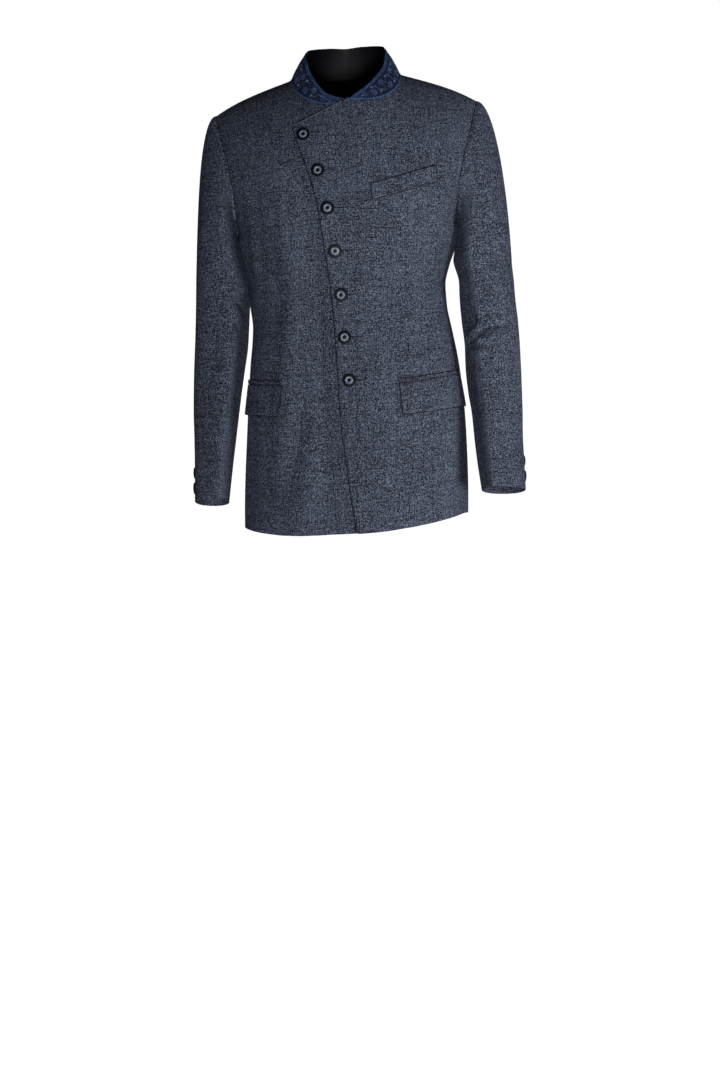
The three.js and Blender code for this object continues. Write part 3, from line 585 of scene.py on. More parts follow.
# points, directions and sizes in mm; the size of each stitch multiplies the common one
def sew(name, points, along, away, length, width, height, thread, uneven=0.12, seed=7, size=None):
    mesh = bpy.data.meshes.new(name)
    mesh.from_pydata((points * metre).tolist(), [], [])
    size = np.ones((len(points), 3)) if size is None else size
    for label, values in (("along", along), ("away", away), ("size", size)):
        layer = mesh.attributes.new(label, "FLOAT_VECTOR", "POINT")
        layer.data.foreach_set("vector", np.ascontiguousarray(values, np.float32).ravel())
    piece = bpy.data.objects.new(name, mesh)
    bpy.context.collection.objects.link(piece)
    modifier = piece.modifiers.new("sewing", "NODES")
    modifier.node_group = sewing
    for label, value in (("Length", length * metre), ("Width", width * metre), ("Height", height * metre),
                         ("Uneven", uneven), ("Seed", seed), ("Thread", thread)):
        modifier[socketOf[label]] = value
    piece.update_tag()
    graph = bpy.context.evaluated_depsgraph_get()
    made = bpy.data.meshes.new_from_object(piece.evaluated_get(graph))
    piece.modifiers.clear()
    piece.data = made
    made.name = name
    return piece


def trim(piece):
    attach(piece, "root")
    return piece


def readAlong(at, length, path):
    return np.stack([np.interp(at, length, path[:, i]) for i in range(3)], -1)


# points a step apart along a path, with their directions
def spaced(path, step):
    length = lengthAlong(path)
    count = max(int(length[-1] / step), 1)
    at = (np.arange(count) + 0.5) * length[-1] / count
    ahead = readAlong(at + 0.3, length, path) - readAlong(at - 0.3, length, path)
    return readAlong(at, length, path), unit(ahead), at


# body panels
panelDetail = {
    "lower": 92, "edge": 24, "tab": 14, "neck": 26, "centre": 30, "across": 78,
    "seamAir": 0.04,
}
armpitRise = -0.04
seamEdge, foldEdge = 0.35, 1.0
facing = {"hem": 32, "front": 62, "cuff": 30}
darts = {
    1: table("rise angle", (-0.13, 31.2), (-0.167, 31.6), (-0.406, 35.4), (-0.768, 31.7)),
    -1: table("rise angle", (-0.09, 31), (-0.13, 31.4), (-0.368, 37.3), (-0.745, 34.6)),
}
dartShape = {
    "depth": 0.85, "width": 0.55, "ridge": 0.45, "ridgeOff": 1.5, "ridgeWidth": 1.1,
    "top": -0.12, "foot": -0.76, "span": 235,
}
dartColumns = np.array([-5, -2.6, -1.4, -0.75, -0.35, 0, 0.35, 0.75, 1.4, 2.6, 5])


def lowerRows(edgeAngle, count):
    rises = np.linspace(garment["hemRise"], armpitRise, count + 1)
    return [((float(edgeAngle(r)), r), (90.0, r)) for r in rises]


def upperRows(starts, front):
    turns = mix(180, 0 if front else 360, np.arange(1, len(starts) + 1) / len(starts))
    return [(s, (float(armAngle(t)), float(armRise(t)))) for s, t in zip(starts, turns)]


def neckStarts(side, count):
    return [(float(neckAngle[side](t)), float(neckRise[side](t))) for t in np.linspace(0, 1, count + 1)[1:]]


def overlapRows(d):
    rises = np.linspace(armpitRise, 0.42, d["edge"] + 1)[1:]
    edge = [(float(overlapAngle(r)), r) for r in rises]
    tab = [(a, float(tabRise(a))) for a in np.linspace(-19, -0.1, d["tab"] + 1)[1:]]
    lower = lowerRows(overlapAngle, d["lower"])
    return lower + upperRows(edge + tab + neckStarts(1, d["neck"]), True), len(lower) + len(edge) + len(tab)


def underRows(d):
    rises = np.linspace(armpitRise, 0.49, d["edge"] + 1)[1:]
    edge = [(-float(underAngle(r)), r) for r in rises]
    lower = lowerRows(lambda r: -underAngle(r), d["lower"])
    return lower + upperRows(edge + neckStarts(-1, d["neck"]), True), len(lower) + len(edge)


def backRows(d):
    centre = [(180.0, r) for r in np.linspace(armpitRise, 0.756, d["centre"] + 1)[1:]]
    at = 2 - np.linspace(0, 1, d["neck"] + 1)[1:]
    neck = [(float(backNeckAngle(t)), float(backNeckRise(t))) for t in at]
    lower = lowerRows(lambda r: 180.0, d["lower"])
    return lower + upperRows(centre + neck, False), len(lower) + len(centre)


def bodyPanel(node, rowsAndFree, side, front, lifted, materials):
    rows, free = rowsAndFree
    columns = panelDetail["across"]
    start = np.array([r[0] for r in rows])
    end = np.array([r[1] for r in rows])
    t = np.broadcast_to(np.linspace(0, 1, columns + 1)[None, :], (len(rows), columns + 1))
    groove = 0
    if front:
        # columns crowd round the dart so that its line stays crisp
        lowest = np.minimum(start[:, 1], armpitRise)
        dartAt = (curve(darts[side], "rise", "angle")(lowest) - start[:, 0]) / (end[:, 0] - start[:, 0])
        before = int(round((columns - len(dartColumns)) * float(dartAt.mean())))
        after = columns + 1 - len(dartColumns) - before
        cluster = dartAt[:, None] + dartColumns[None, :] / dartShape["span"]
        t = np.concatenate([cluster[:, :1] * np.linspace(0, 1, before, endpoint=False)[None, :], cluster,
                            mix(cluster[:, -1:], 1, np.linspace(0, 1, after + 1)[None, 1:])], 1)
        off = (t - dartAt[:, None]) * dartShape["span"]
        d = dartShape
        held = smooth((d["top"] - start[:, 1:]) / 0.1) * smooth((start[:, 1:] - d["foot"]) / 0.03)
        groove = held * (d["ridge"] * np.exp(-((off - d["ridgeOff"]) / d["ridgeWidth"]) ** 2)
                         - d["depth"] * np.exp(-(off / d["width"]) ** 2))
    angle = mix(start[:, :1], end[:, :1], t)
    rise = mix(start[:, 1:], end[:, 1:], t)
    points = formPoint(angle, rise)
    away = formNormal(np.clip(angle, -180, 89) if front else np.clip(angle, 91, 179.6), rise)
    lift = calmDrape(angle * side, rise) + groove
    if lifted:
        lift = lift + liftAt(angle, rise)
    points = points + away * lift[..., None]
    points[..., 0] = (points[..., 0] + easeAt(angle, rise, side)) * side
    points[..., 1] += (-1 if front else 1) * panelDetail["seamAir"]
    atCentreBack = (start[:, 0] == 180.0) if not front else np.zeros(len(rows), bool)
    points[atCentreBack, 0, 0] = panelDetail["seamAir"] * side
    flip = (side < 0) == front
    lowerCount = panelDetail["lower"] + 1

    def turnIn(normals):
        normals[:lowerCount, -1, 1] = 0
        normals[atCentreBack, 0, 0] = 0
        normals[-1, :, 1] = 0
        return unit(normals)

    inside = points - turnIn(gridNormals(points, flip)) * garment["wall"]
    grid = pose(points)
    startFold = np.where(np.arange(len(rows)) < free, foldEdge if front else seamEdge, seamEdge)
    fold = {"bottom": foldEdge, "top": seamEdge, "start": startFold, "end": seamEdge}
    uv = clothPlace(angle, rise) * np.array([side, 1]) + np.array([0.6 + 0.5 * (not front), 0.3])
    # the hem is turned up in shell cloth, and the fronts are faced with it
    lined = (rise[:-1, :-1] - garment["hemRise"]) * garment["lowerSpan"] > facing["hem"]
    if front:
        across = np.cumsum(np.linalg.norm(np.diff(grid, axis=1), axis=-1), 1)
        lined &= across[:-1] > facing["front"]
    piece = clothWall(node + "_cloth", grid, uv, flip, garment["wall"], fold, materials,
                      inner=pose(inside), innerSlots=lined.astype(int))
    return piece, grid


shellCloth = [looks["rawSilk"], looks["satinLining"]]
panels = {}
for node, rowsAndFree, side, front, lifted in (
        ("front_left", overlapRows(panelDetail), 1, True, True),
        ("front_right", underRows(panelDetail), -1, True, False),
        ("back_left", backRows(panelDetail), 1, False, False),
        ("back_right", backRows(panelDetail), -1, False, False)):
    panels[node] = bodyPanel(node, rowsAndFree, side, front, lifted, shellCloth)
for node, (piece, grid) in panels.items():
    declareCloth(piece, node)
print("body panels laid")

# sleeves
sleeveColumns = "height out half middle deep slope"
sleeves = {
    "right": {
        "side": -1, "foot": -700, "fullness": 82, "sections": table(
            sleeveColumns,
            (-240, 213, 31, 5, 66, 0), (-270, 209.7, 35.8, 5, 66, 0), (-300, 206, 40, 4, 65, 0.01),
            (-340, 201.4, 45.1, 3, 63, 0.02), (-393, 202.4, 44.4, 0, 61, 0.04),
            (-442, 204, 43.8, -4, 60, 0.06),
            (-480, 207, 41.9, -9, 59, 0.08), (-518, 209.7, 39.6, -14, 58, 0.09),
            (-556, 211.8, 37.3, -20, 56.5, 0.1), (-594, 213.1, 34.5, -27, 55, 0.105),
            (-645, 215.2, 31, -36, 53, 0.11), (-700, 217.5, 28, -46, 52, 0.11)),
        "folds": table(
            "turn height wide tall depth slant",
            (128, -352, 22, 12, 4.4, 0.2), (110, -378, 30, 8, -3.8, -0.3), (100, -396, 28, 9, 3.0, -0.3),
            (105, -420, 26, 9, -2.0, -0.2), (80, -500, 14, 120, 1.6, 0.02), (20, -230, 16, 80, -2.0, 0.05),
            (74, -250, 12, 90, 1.6, 0.03), (50, -560, 16, 90, -1.6, 0.03), (-40, -390, 24, 10, -3.2, 0.35),
            (-60, -420, 24, 10, 2.6, 0.35), (-50, -450, 22, 9, -2.4, 0.3), (-20, -600, 12, 90, -1.6, 0.0)),
    },
    "left": {
        "side": 1, "foot": -680, "fullness": 104, "sections": table(
            sleeveColumns,
            (-240, 227, 42, 5, 66, 0), (-270, 226, 46, 5, 66, 0), (-300, 226.3, 48.2, 4, 65, 0.01),
            (-335, 232.6, 45.4, 3, 63, 0.02), (-362, 234.2, 45.9, 2, 62, 0.03),
            (-400, 238, 46.5, 0, 61, 0.04),
            (-442, 242, 45.5, -5, 60, 0.06), (-480, 243.5, 45.6, -10, 59, 0.08),
            (-518, 246, 44.2, -16, 58, 0.09), (-556, 249.4, 41.6, -23, 56.5, 0.1),
            (-594, 251.2, 39.8, -30, 55, 0.105), (-632, 254.2, 38.5, -37, 54, 0.11),
            (-680, 258.7, 36, -46, 53, 0.11)),
        "folds": table(
            "turn height wide tall depth slant",
            (112, -402, 30, 15, -12.0, 0.0), (118, -424, 26, 5, 5.5, -0.43), (100, -431, 24, 4.5, -5.0, -0.5),
            (58, -412, 22, 5, -4.6, -0.25), (90, -437, 34, 5, 4.2, -0.25), (105, -446, 26, 5, -4.2, -0.03),
            (100, -456, 26, 8, 2.6, -0.1), (150, -438, 14, 7, 5.0, -0.4),
            (80, -560, 14, 100, 1.8, 0.02), (30, -250, 16, 80, -1.8, 0.05),
            (80, -240, 12, 90, 1.6, 0.03), (45, -540, 16, 90, -1.6, 0.03), (-40, -400, 24, 10, -3.2, 0.35),
            (-60, -428, 24, 10, 2.6, 0.35), (-50, -456, 22, 9, -2.4, 0.3), (-20, -600, 12, 90, -1.6, 0.0)),
    },
}
sleeveSeams = table("along front back", (0, 138, 236), (0.35, 128, 250), (1, 120, 297))
seamFront, seamBack = curve(sleeveSeams, "along", "front"), curve(sleeveSeams, "along", "back")


sleeveDetail = {
    "rows": 290, "top": 78, "under": 46, "clear": 0.12, "turnedIn": 0.55, "innerFlat": 1.5, "round": 0.92,
    "capShare": 0.3, "capFlat": 24, "girthRadius": 52,
}


def sleeveForm(sleeve):
    side = sleeve["side"]
    out, half, middle, deep, slope = (
        curve(sleeve["sections"], "height", c) for c in ("out", "half", "middle", "deep", "slope"))

    def ring(turn, height):
        cosine, sine = np.cos(np.radians(turn)), np.sin(np.radians(turn))
        # between its front edge and the body the sleeve is nearly flat
        roundness = np.where((cosine < 0) & (sine > 0), sleeveDetail["innerFlat"], sleeveDetail["round"])
        across = np.sign(cosine) * np.abs(cosine) ** roundness
        ahead = np.sign(sine) * np.abs(sine) ** roundness
        # the front edge of a hanging sleeve is turned in towards the body
        across = across - sleeveDetail["turnedIn"] * np.maximum(ahead, 0) * (1 - across ** 2)
        x = side * (out(height) + half(height) * across)
        y = middle(height) - deep(height) * ahead
        return np.stack([x, y, height - slope(height) * (y - middle(height))], -1)

    def cap(turn, t):
        wrapped = np.mod(turn, 360)
        start = formPoint(armAngle(wrapped), armRise(wrapped))
        start[..., 0] *= side
        start = pose(start) + np.array([side * 0.1, 0, 0])
        end = ring(turn, garment["capFoot"] + 0 * turn)
        reach = np.linalg.norm(end - start, axis=-1, keepdims=True)
        high = ((1 + np.cos(np.radians(turn))) / 2)[..., None]
        leave = np.array([side, 0, 0]) * mix(sleeveDetail["capFlat"], sleeve["fullness"], high)
        arrive = unit(end - ring(turn, garment["capFoot"] + 10 + 0 * turn)) * reach
        t = t[..., None]
        u = 1 - t
        return (start * (1 + 2 * t) * u * u + end * t * t * (3 - 2 * t)
                + leave * t * u * u - arrive * t * t * u)

    def at(turn, along):
        turn, along = np.broadcast_arrays(np.asarray(turn, float), np.asarray(along, float))
        share = sleeveDetail["capShare"]
        height = mix(garment["capFoot"], sleeve["foot"], np.clip((along - share) / (1 - share), 0, 1))
        head = cap(turn, np.clip(along / share, 0, 1))
        return np.where((along < share)[..., None], head, ring(turn, height))

    def normalAt(turn, along):
        a = np.clip(along, 0.004, 0.996)
        across = at(turn + 2, a) - at(turn - 2, a)
        down = at(turn, a + 0.004) - at(turn, a - 0.004)
        return unit(np.cross(across, down)) * side

    def drape(turn, along):
        place = at(turn, along)
        signed = np.mod(turn + 180, 360) - 180
        total = np.zeros(turn.shape)
        for fold in sleeve["folds"]:
            away = np.mod(signed - fold["turn"] + 180, 360) - 180
            up = (place[..., 2] - fold["height"] - fold["slant"] * away) / fold["tall"]
            total += fold["depth"] * np.exp(-(away / fold["wide"]) ** 2 - up ** 2)
        return total * smooth(along / 0.05) * smooth((1.02 - along) / 0.06)

    def surface(turn, along, above=0.0):
        turn, along = np.broadcast_arrays(np.asarray(turn, float), np.asarray(along, float))
        return at(turn, along) + normalAt(turn, along) * (drape(turn, along) + above)[..., None]

    return {"surface": surface, "normal": normalAt, "at": at, "side": side}


def sleevePiece(node, form, upper, columns):
    d = sleeveDetail
    along = np.linspace(0, 1, d["rows"] + 1)[:, None]
    start = seamBack(along) - 360 + d["clear"] if upper else seamFront(along) + d["clear"]
    end = seamFront(along) - d["clear"] if upper else seamBack(along) - d["clear"]
    turn = mix(start, end, np.linspace(0, 1, columns + 1)[None, :])
    along = np.broadcast_to(along, turn.shape)
    grid = form["surface"](turn, along)
    surface = form["surface"]
    wide = surface(turn + 1.5, along) - surface(turn - 1.5, along)
    down = surface(turn, np.clip(along + 0.004, 0, 1)) - surface(turn, np.clip(along - 0.004, 0, 1))
    inside = grid - unit(np.cross(wide, down)) * form["side"] * garment["wall"]
    lengths = np.concatenate([np.zeros((1, columns + 1)),
                              np.cumsum(np.linalg.norm(np.diff(grid, axis=0), axis=-1), 0)], 0)
    uv = np.stack([np.radians(turn) * d["girthRadius"] * metre + 3,
                   (lengths[-1:] - lengths) * metre + form["side"]], -1)
    fold = {"bottom": seamEdge, "top": foldEdge, "start": seamEdge, "end": seamEdge}
    lined = (lengths[-1:] - lengths)[1:, :-1] > facing["cuff"]
    piece = clothWall(node + "_cloth", grid, uv, form["side"] < 0, garment["wall"], fold, shellCloth,
                      inner=inside, innerSlots=lined.astype(int))
    declareCloth(piece, node)
    return piece


sleeveForms = {name: sleeveForm(sleeve) for name, sleeve in sleeves.items()}
for name, form in sleeveForms.items():
    sleevePiece("top_sleeve_" + name, form, True, sleeveDetail["top"])
    sleevePiece("under_sleeve_" + name, form, False, sleeveDetail["under"])
print("sleeves set in")

# collar
collar = {
    "air": -0.7, "wall": 2.0, "around": 190, "up": 16, "binding": 2.0, "cordRadius": 1.2, "rimCord": 0.75,
    "rimLines": (3.4, 7.2), "bandTop": 9.4, "bandBottom": 3.4, "roll": 1.5,
}
collarShape = table(
    "at left right lean",
    (0, 2.5, 9.5, 22), (0.05, 6.2, 11.4, 23), (0.1, 12, 15.5, 24), (0.15, 18.8, 20.3, 25),
    (0.22, 28.5, 27.8, 26), (0.3, 37.5, 36.8, 27.5), (0.4, 44.5, 43.8, 28.5), (0.5, 49, 48, 29),
    (0.7, 51, 49.8, 30.5), (1, 52.5, 52.5, 29), (1.5, 55, 55, 20), (2, 52, 52, 12))
leftTall, rightTall, leanAt = (curve(collarShape, "at", c) for c in ("left", "right", "lean"))


# at runs from the centre front round the wearer's left, and is negative on the right
def tallAt(at):
    return np.where(at < 0, rightTall(np.abs(at)), leftTall(np.abs(at)))


# the neck seam of one side: on the left it lies on the buttoned front
def neckPoint(around, side):
    found = []
    for hand in (1, -1):
        ahead = np.minimum(around, 1)
        angle = np.where(around <= 1, neckAngle[hand](ahead), backNeckAngle(np.maximum(around, 1)))
        rise = np.where(around <= 1, neckRise[hand](ahead), backNeckRise(np.maximum(around, 1)))
        point = formPoint(angle, rise)
        if hand > 0:
            lift = np.where(around <= 1, liftAt(angle, rise), 0)
            point = point + formNormal(angle, rise) * lift[..., None]
        point[..., 0] *= hand
        found.append(point)
    return np.where((side > 0)[..., None], *found)


# up is the height along the collar in mm, above is the distance out of its face
def collarPoint(at, up, above=0.0):
    at, up = np.broadcast_arrays(np.asarray(at, float), np.asarray(up, float))
    side, around = np.where(at < 0, -1, 1), np.abs(at)
    ahead = neckPoint(np.minimum(around + 0.04, 2), side) - neckPoint(np.maximum(around - 0.04, 0), side)
    ahead = ahead * side[..., None]
    inward = unit(np.stack([-ahead[..., 1], ahead[..., 0], 0 * around], -1))
    inward = np.where((around > 1.96)[..., None], np.array([0.0, -1.0, 0.0]), inward)
    lean = np.radians(leanAt(around))[..., None]
    height = (collar["air"] + up)[..., None]
    # the band rolls a little outwards between its edges
    tall = tallAt(at)
    roll = above + collar["roll"] * np.sin(np.pi * np.clip(up / tall, 0, 1)) * np.minimum(1, tall / 30)
    upright = np.array([0.0, 0.0, 1.0])
    direction = inward * np.sin(lean) + upright * np.cos(lean)
    outward = -inward * np.cos(lean) + upright * np.sin(lean)
    return neckPoint(around, side) + direction * height + outward * roll[..., None]


def collarStations(count):
    at = mix(0.012, 3.988, np.linspace(0, 1, count + 1))
    return np.where(at <= 2, at, at - 4)


def makeCollar():
    at = collarStations(collar["around"])
    tall = tallAt(at)[None, :]
    bound = np.minimum(collar["binding"], tall * 0.4)
    share = np.linspace(0, 1, collar["up"])[:, None]
    up = np.concatenate([share * (tall - bound), tall - bound * 0.5, tall])
    grid = pose(collarPoint(at[None, :], up))
    base = lengthAlong(grid[0])
    uv = np.stack([np.broadcast_to(base[None, :], up.shape), up], -1) * metre + 5
    fold = {"bottom": seamEdge, "top": foldEdge, "start": foldEdge, "end": foldEdge}
    outerSlots = np.zeros((len(up) - 1, len(at) - 1), int)
    outerSlots[-2:] = 1
    piece = clothWall("collar_band", grid, uv, False, collar["wall"], fold,
                      [looks["collarGround"], looks["satinLining"]], outerSlots=outerSlots)
    return piece, grid


def tube(name, path, radius, material, sides=8):
    tangent = unit(np.gradient(path, axis=0))
    reference = np.array([0.0, 0.0, 1.0])
    sideways = unit(np.cross(tangent, reference))
    upwards = unit(np.cross(sideways, tangent))
    turns = np.radians(np.arange(sides) * 360 / sides)
    scale = np.ones(len(path))
    scale[0] = scale[-1] = 0.5
    circle = (np.cos(turns)[None, :, None] * sideways[:, None, :]
              + np.sin(turns)[None, :, None] * upwards[:, None, :])
    vertices = (path[:, None, :] + radius * scale[:, None, None] * circle).reshape(-1, 3)
    index = np.arange(len(path) * sides).reshape(-1, sides)
    a, b = index[:-1], index[1:]
    faces = np.stack([a, np.roll(a, -1, 1), np.roll(b, -1, 1), b], -1).reshape(-1, 4).tolist()
    faces += [index[0][::-1].tolist(), index[-1].tolist()]
    length = lengthAlong(path)
    uv = np.stack(np.broadcast_arrays(length[:, None], turns[None, :] * radius), -1).reshape(-1, 2) * metre
    return meshPiece(name, vertices, faces, uv, np.zeros(len(faces)), [material])


collarPiece, collarGrid = makeCollar()
stations = collarStations(240)
stationRound = np.where(stations >= 0, stations, stations + 4)
collarFoot = pose(collarPoint(stations, 0 * stations))
footLength = lengthAlong(collarFoot)
embroidery = {
    "repeat": 37.0, "wave": 0.5, "flower": 7.2, "petals": 6, "leaf": 6.4, "thread": 0.62, "raise": 0.35,
    "vineStep": 1.7, "seeds": 900, "seed": 12,
}


def alongCollar(s):
    around = np.interp(s, footLength, stationRound)
    return np.where(around <= 2, around, around - 4)


def bandMiddle(s):
    tall = tallAt(alongCollar(s))
    low, high = collar["bandBottom"], tall - collar["bandTop"]
    return (low + high) / 2, (high - low) / 2


def collarFrame(s, up, above):
    def at(moveAlong, moveUp):
        return pose(collarPoint(alongCollar(s + moveAlong), up + moveUp, above))

    across, upright = unit(at(0.6, 0) - at(-0.6, 0)), unit(at(0, 0.5) - at(0, -0.5))
    return at(0, 0), across, upright, unit(np.cross(across, upright))


# a filled shape is parallel threads, shorter towards its sides
def satinShape(stitches, s, up, turn, length, width, colour):
    count = max(int(round(width / embroidery["thread"])), 1)
    for k in range(count):
        side = 0 if count == 1 else 2 * k / (count - 1) - 1
        shift = side * (width - embroidery["thread"]) / 2
        stitches.append((s - math.sin(turn) * shift, up + math.cos(turn) * shift, turn,
                         length * math.sqrt(1 - 0.8 * side * side), embroidery["thread"] * 1.15, colour))


def embroider():
    e = embroidery
    random = np.random.default_rng(e["seed"])
    stitches, flowers = [], []
    total = footLength[-1]
    bends = int(total / e["repeat"] * 2)
    for k in range(bends):
        s = (k + 0.5) * total / bends
        middle, half = (float(v) for v in bandMiddle(s))
        if half < 2.2:
            continue
        r = min(e["flower"], half * 0.78)
        up = middle + (1 if k % 2 else -1) * max(half - r, 0) * 0.75
        flowers.append((s, up, r))
        for i in range(e["petals"]):
            turn = 2 * math.pi * (i + 0.25 * (k % 3)) / e["petals"]
            gap = turn + math.pi / e["petals"]
            for way, out, length, width, colour in (
                    (turn, 0.62, 0.72, 0.46, "brightBlueThread"), (turn, 0.28, 0.34, 0.2, "maroonThread"),
                    (gap, 0.95, 0.5, 0.16, "darkThread")):
                satinShape(stitches, s + math.cos(way) * r * out, up + math.sin(way) * r * out, way,
                           r * length, r * width, colour)
        satinShape(stitches, s, up, 0, r * 0.2, r * 0.2, "mistThread")
        # two leaves on the other side of the vine
        for lean in (-1, 1):
            size = min(e["leaf"], half * 0.8)
            leafUp = middle - (1 if k % 2 else -1) * half * 0.55
            leafTurn = math.pi / 2 + lean * 0.9
            satinShape(stitches, s + lean * size * 0.55, leafUp, leafTurn, size, size * 0.36,
                       "deepBlueThread" if lean > 0 else "mistThread")
            satinShape(stitches, s + lean * size * 0.95, leafUp + size * 0.2, leafTurn + 0.5, size * 0.7,
                       size * 0.22, "maroonThread")
    for s in np.arange(4, total - 4, e["vineStep"]):
        middle, half = (float(v) for v in bandMiddle(s))
        if half > 0.6:
            phase = s / total * bends * math.pi
            lean = math.atan(e["wave"] * half * math.cos(phase) * math.pi * bends / total)
            satinShape(stitches, s, middle + e["wave"] * half * math.sin(phase), lean, 2.6, e["thread"],
                       "brightBlueThread")
    count = e["seeds"]
    for s, share, turn, pick in zip(random.uniform(3, total - 3, count), random.uniform(-1, 1, count),
                                    random.uniform(0, math.pi, count), random.random(count)):
        middle, half = (float(v) for v in bandMiddle(s))
        up = middle + share * half
        if half < 0.8 or any((s - f[0]) ** 2 + (up - f[1]) ** 2 < (f[2] * 1.02) ** 2 for f in flowers):
            continue
        colour = ("darkThread" if pick < 0.35 else "deepBlueThread" if pick < 0.6 else
                  "maroonThread" if pick < 0.75 else "brightBlueThread" if pick < 0.87 else "mistThread")
        satinShape(stitches, s, up, turn, 2.4, 1.1, colour)
    made = []
    for colour in sorted({stitch[5] for stitch in stitches}):
        rows = np.array([stitch[:5] for stitch in stitches if stitch[5] == colour])
        place, across, upright, away = collarFrame(rows[:, 0], rows[:, 1], embroidery["raise"])
        along = across * np.cos(rows[:, 2:3]) + upright * np.sin(rows[:, 2:3])
        size = np.stack([rows[:, 3], rows[:, 4], np.full(len(rows), 0.9)], -1)
        made.append(sew("collar_" + colour, place, along, away, 1, 1, 1, looks[colour], 0.08, 5, size))
    return made


# a twisted cord laid along a path: short threads leaning across it
def rope(name, path, away, radius, thread, sideLean=0.62):
    place, ahead, at = spaced(path, radius * 0.95)
    length = lengthAlong(path)
    outward = unit(readAlong(at, length, away))
    along = unit(ahead + np.cross(outward, ahead) * sideLean)
    return sew(name, place, along, outward, radius * 3.1, radius * 1.35, radius * 1.9, thread, 0.03)


collarTrim = embroider()
foot, _, _, footAway = collarFrame(footLength, 0 * footLength + 1.3, 0.5)
collarTrim.append(rope("collar_seam_cord", foot, footAway, collar["cordRadius"], looks["brightBlueThread"]))
neckTape = pose(collarPoint(stations, 0 * stations + 0.2, -2.4))
collarTrim.append(tube("collar_neck_tape", neckTape, 1.5, looks["satinLining"]))
for i, below in enumerate(collar["rimLines"]):
    tall = tallAt(stations)
    keep = tall > below + collar["bandBottom"] - 0.6
    line, _, _, lineAway = collarFrame(footLength[keep], tall[keep] - below, 0.3)
    collarTrim.append(rope("collar_rim_cord_%d" % (i + 1), line, lineAway, collar["rimCord"],
                           looks["brightBlueThread"]))
for piece in collarTrim:
    trim(piece)
declareCloth(collarPiece, "collar")
print("collar stands, embroidered")

# pocket pieces
pockets = {
    "chest_welt": ((9.1, 0.121), (41.4, 0.216), (45.1, 0.138), (10.4, 0.063), 0.0),
    "flap_left": ((27, -0.8), (86, -0.797), (87.5, -0.95), (27.9, -0.94), 0.006),
    "jetting_left": ((26.8, -0.776), (84, -0.773), (84, -0.79), (26.9, -0.793), 0.0),
    "flap_right": ((-86, -0.776), (-30.1, -0.776), (-32.8, -0.914), (-87.5, -0.918), 0.006),
    "jetting_right": ((-84, -0.752), (-29.5, -0.752), (-29.7, -0.769), (-84, -0.769), 0.0),
}


def pocketPiece(node, shape):
    a, b, c, d, lip = shape
    side = 1 if a[0] > 0 else -1
    flap = node.startswith("flap")
    rows, columns = (22, 60) if flap else (10, 60)
    v = np.linspace(0, 1, rows + 1)[:, None]
    u = np.linspace(0, 1, columns + 1)[None, :]
    corner = lip * np.maximum(0, 1 - np.minimum(u, 1 - u) / 0.12) ** 2
    angle = mix(mix(d[0], c[0], u), mix(a[0], b[0], u), v)
    rise = mix(mix(d[1], c[1], u) + corner, mix(a[1], b[1], u), v)
    flare = garment["flapFlare"] * (1 - v) if flap else 0 * v
    above = garment["pocketLift"] + garment["pocketWall"] + flare + 0 * u
    grid = frontSurface(np.abs(angle), rise, side, above)
    grid[..., 1] -= 0.25
    place = clothPlace(np.abs(angle), rise) * np.array([side, 1]) + np.array([8.3, 0.9])
    fold = {"bottom": foldEdge, "top": foldEdge, "start": foldEdge, "end": foldEdge}
    outer = looks["jettingCloth"] if node.startswith("jetting") else looks["rawSilk"]
    piece = clothWall(node + "_cloth", grid, place, False, garment["pocketWall"], fold, [outer, outer])
    declareCloth(piece, node)
    return piece


for node, shape in pockets.items():
    pocketPiece(node, shape)
print("pockets made")

# pale edge stitching of the pocket pieces, which also stands in for the painted highlight just inside their
# edges, and a painted highlight along the tab edge
edgeStitch = {"inset": 1.5, "step": 2.6, "length": 1.9, "thick": 0.4}


def stitchAndHighlightLine(name, place):
    points, ahead = spaced(place(0.0), edgeStitch["step"])[:2]
    higher = spaced(place(0.5), edgeStitch["step"])[0]
    higher = higher[:len(points)] if len(higher) >= len(points) else np.resize(higher, points.shape)
    away = unit(np.cross(ahead, np.cross(higher - points, ahead)))
    return sew(name, points, ahead, away, edgeStitch["length"], edgeStitch["thick"], edgeStitch["thick"],
               looks["greyThread"])


def pocketInset(shape, inset, above):
    a, b, c, d, lip = shape
    side = 1 if a[0] > 0 else -1
    box = np.array([a, b, c, d], float)
    centre = box.mean(0)
    degree = np.abs(centre[0] + np.array([-0.5, 0.5]))
    perDegree = np.linalg.norm(np.diff(frontSurface(degree, centre[1], side, 0), axis=0))
    shrink = np.array([inset / perDegree, inset / garment["lowerSpan"]])
    path = []
    corners = [a, d, c, b] if not shape[4] == 0 else [a, d, c, b, a]
    corners = [np.array(k, float) + np.sign(centre - np.array(k)) * shrink for k in corners]
    for first, second in zip(corners[:-1], corners[1:]):
        path.append(mix(first[None, :], second[None, :], np.linspace(0, 1, 30)[:, None]))
    path = np.concatenate(path)

    def place(more):
        flare = 0
        if lip:
            top = np.interp(path[:, 0], sorted([a[0], b[0]]), [p[1] for p in sorted([a, b])])
            bottom = np.interp(path[:, 0], sorted([d[0], c[0]]), [p[1] for p in sorted([d, c])])
            flare = garment["flapFlare"] * np.clip((top - path[:, 1]) / (top - bottom), 0, 1)
        points = frontSurface(np.abs(path[:, 0]), path[:, 1], side, above + flare + more)
        points[:, 1] -= 0.25
        return points

    return place


pocketTop = garment["pocketLift"] + garment["pocketWall"]
for node in ("chest_welt", "flap_left", "flap_right"):
    trim(stitchAndHighlightLine(node + "_stitching_and_highlight", pocketInset(pockets[node], edgeStitch["inset"], pocketTop + 0.05)))
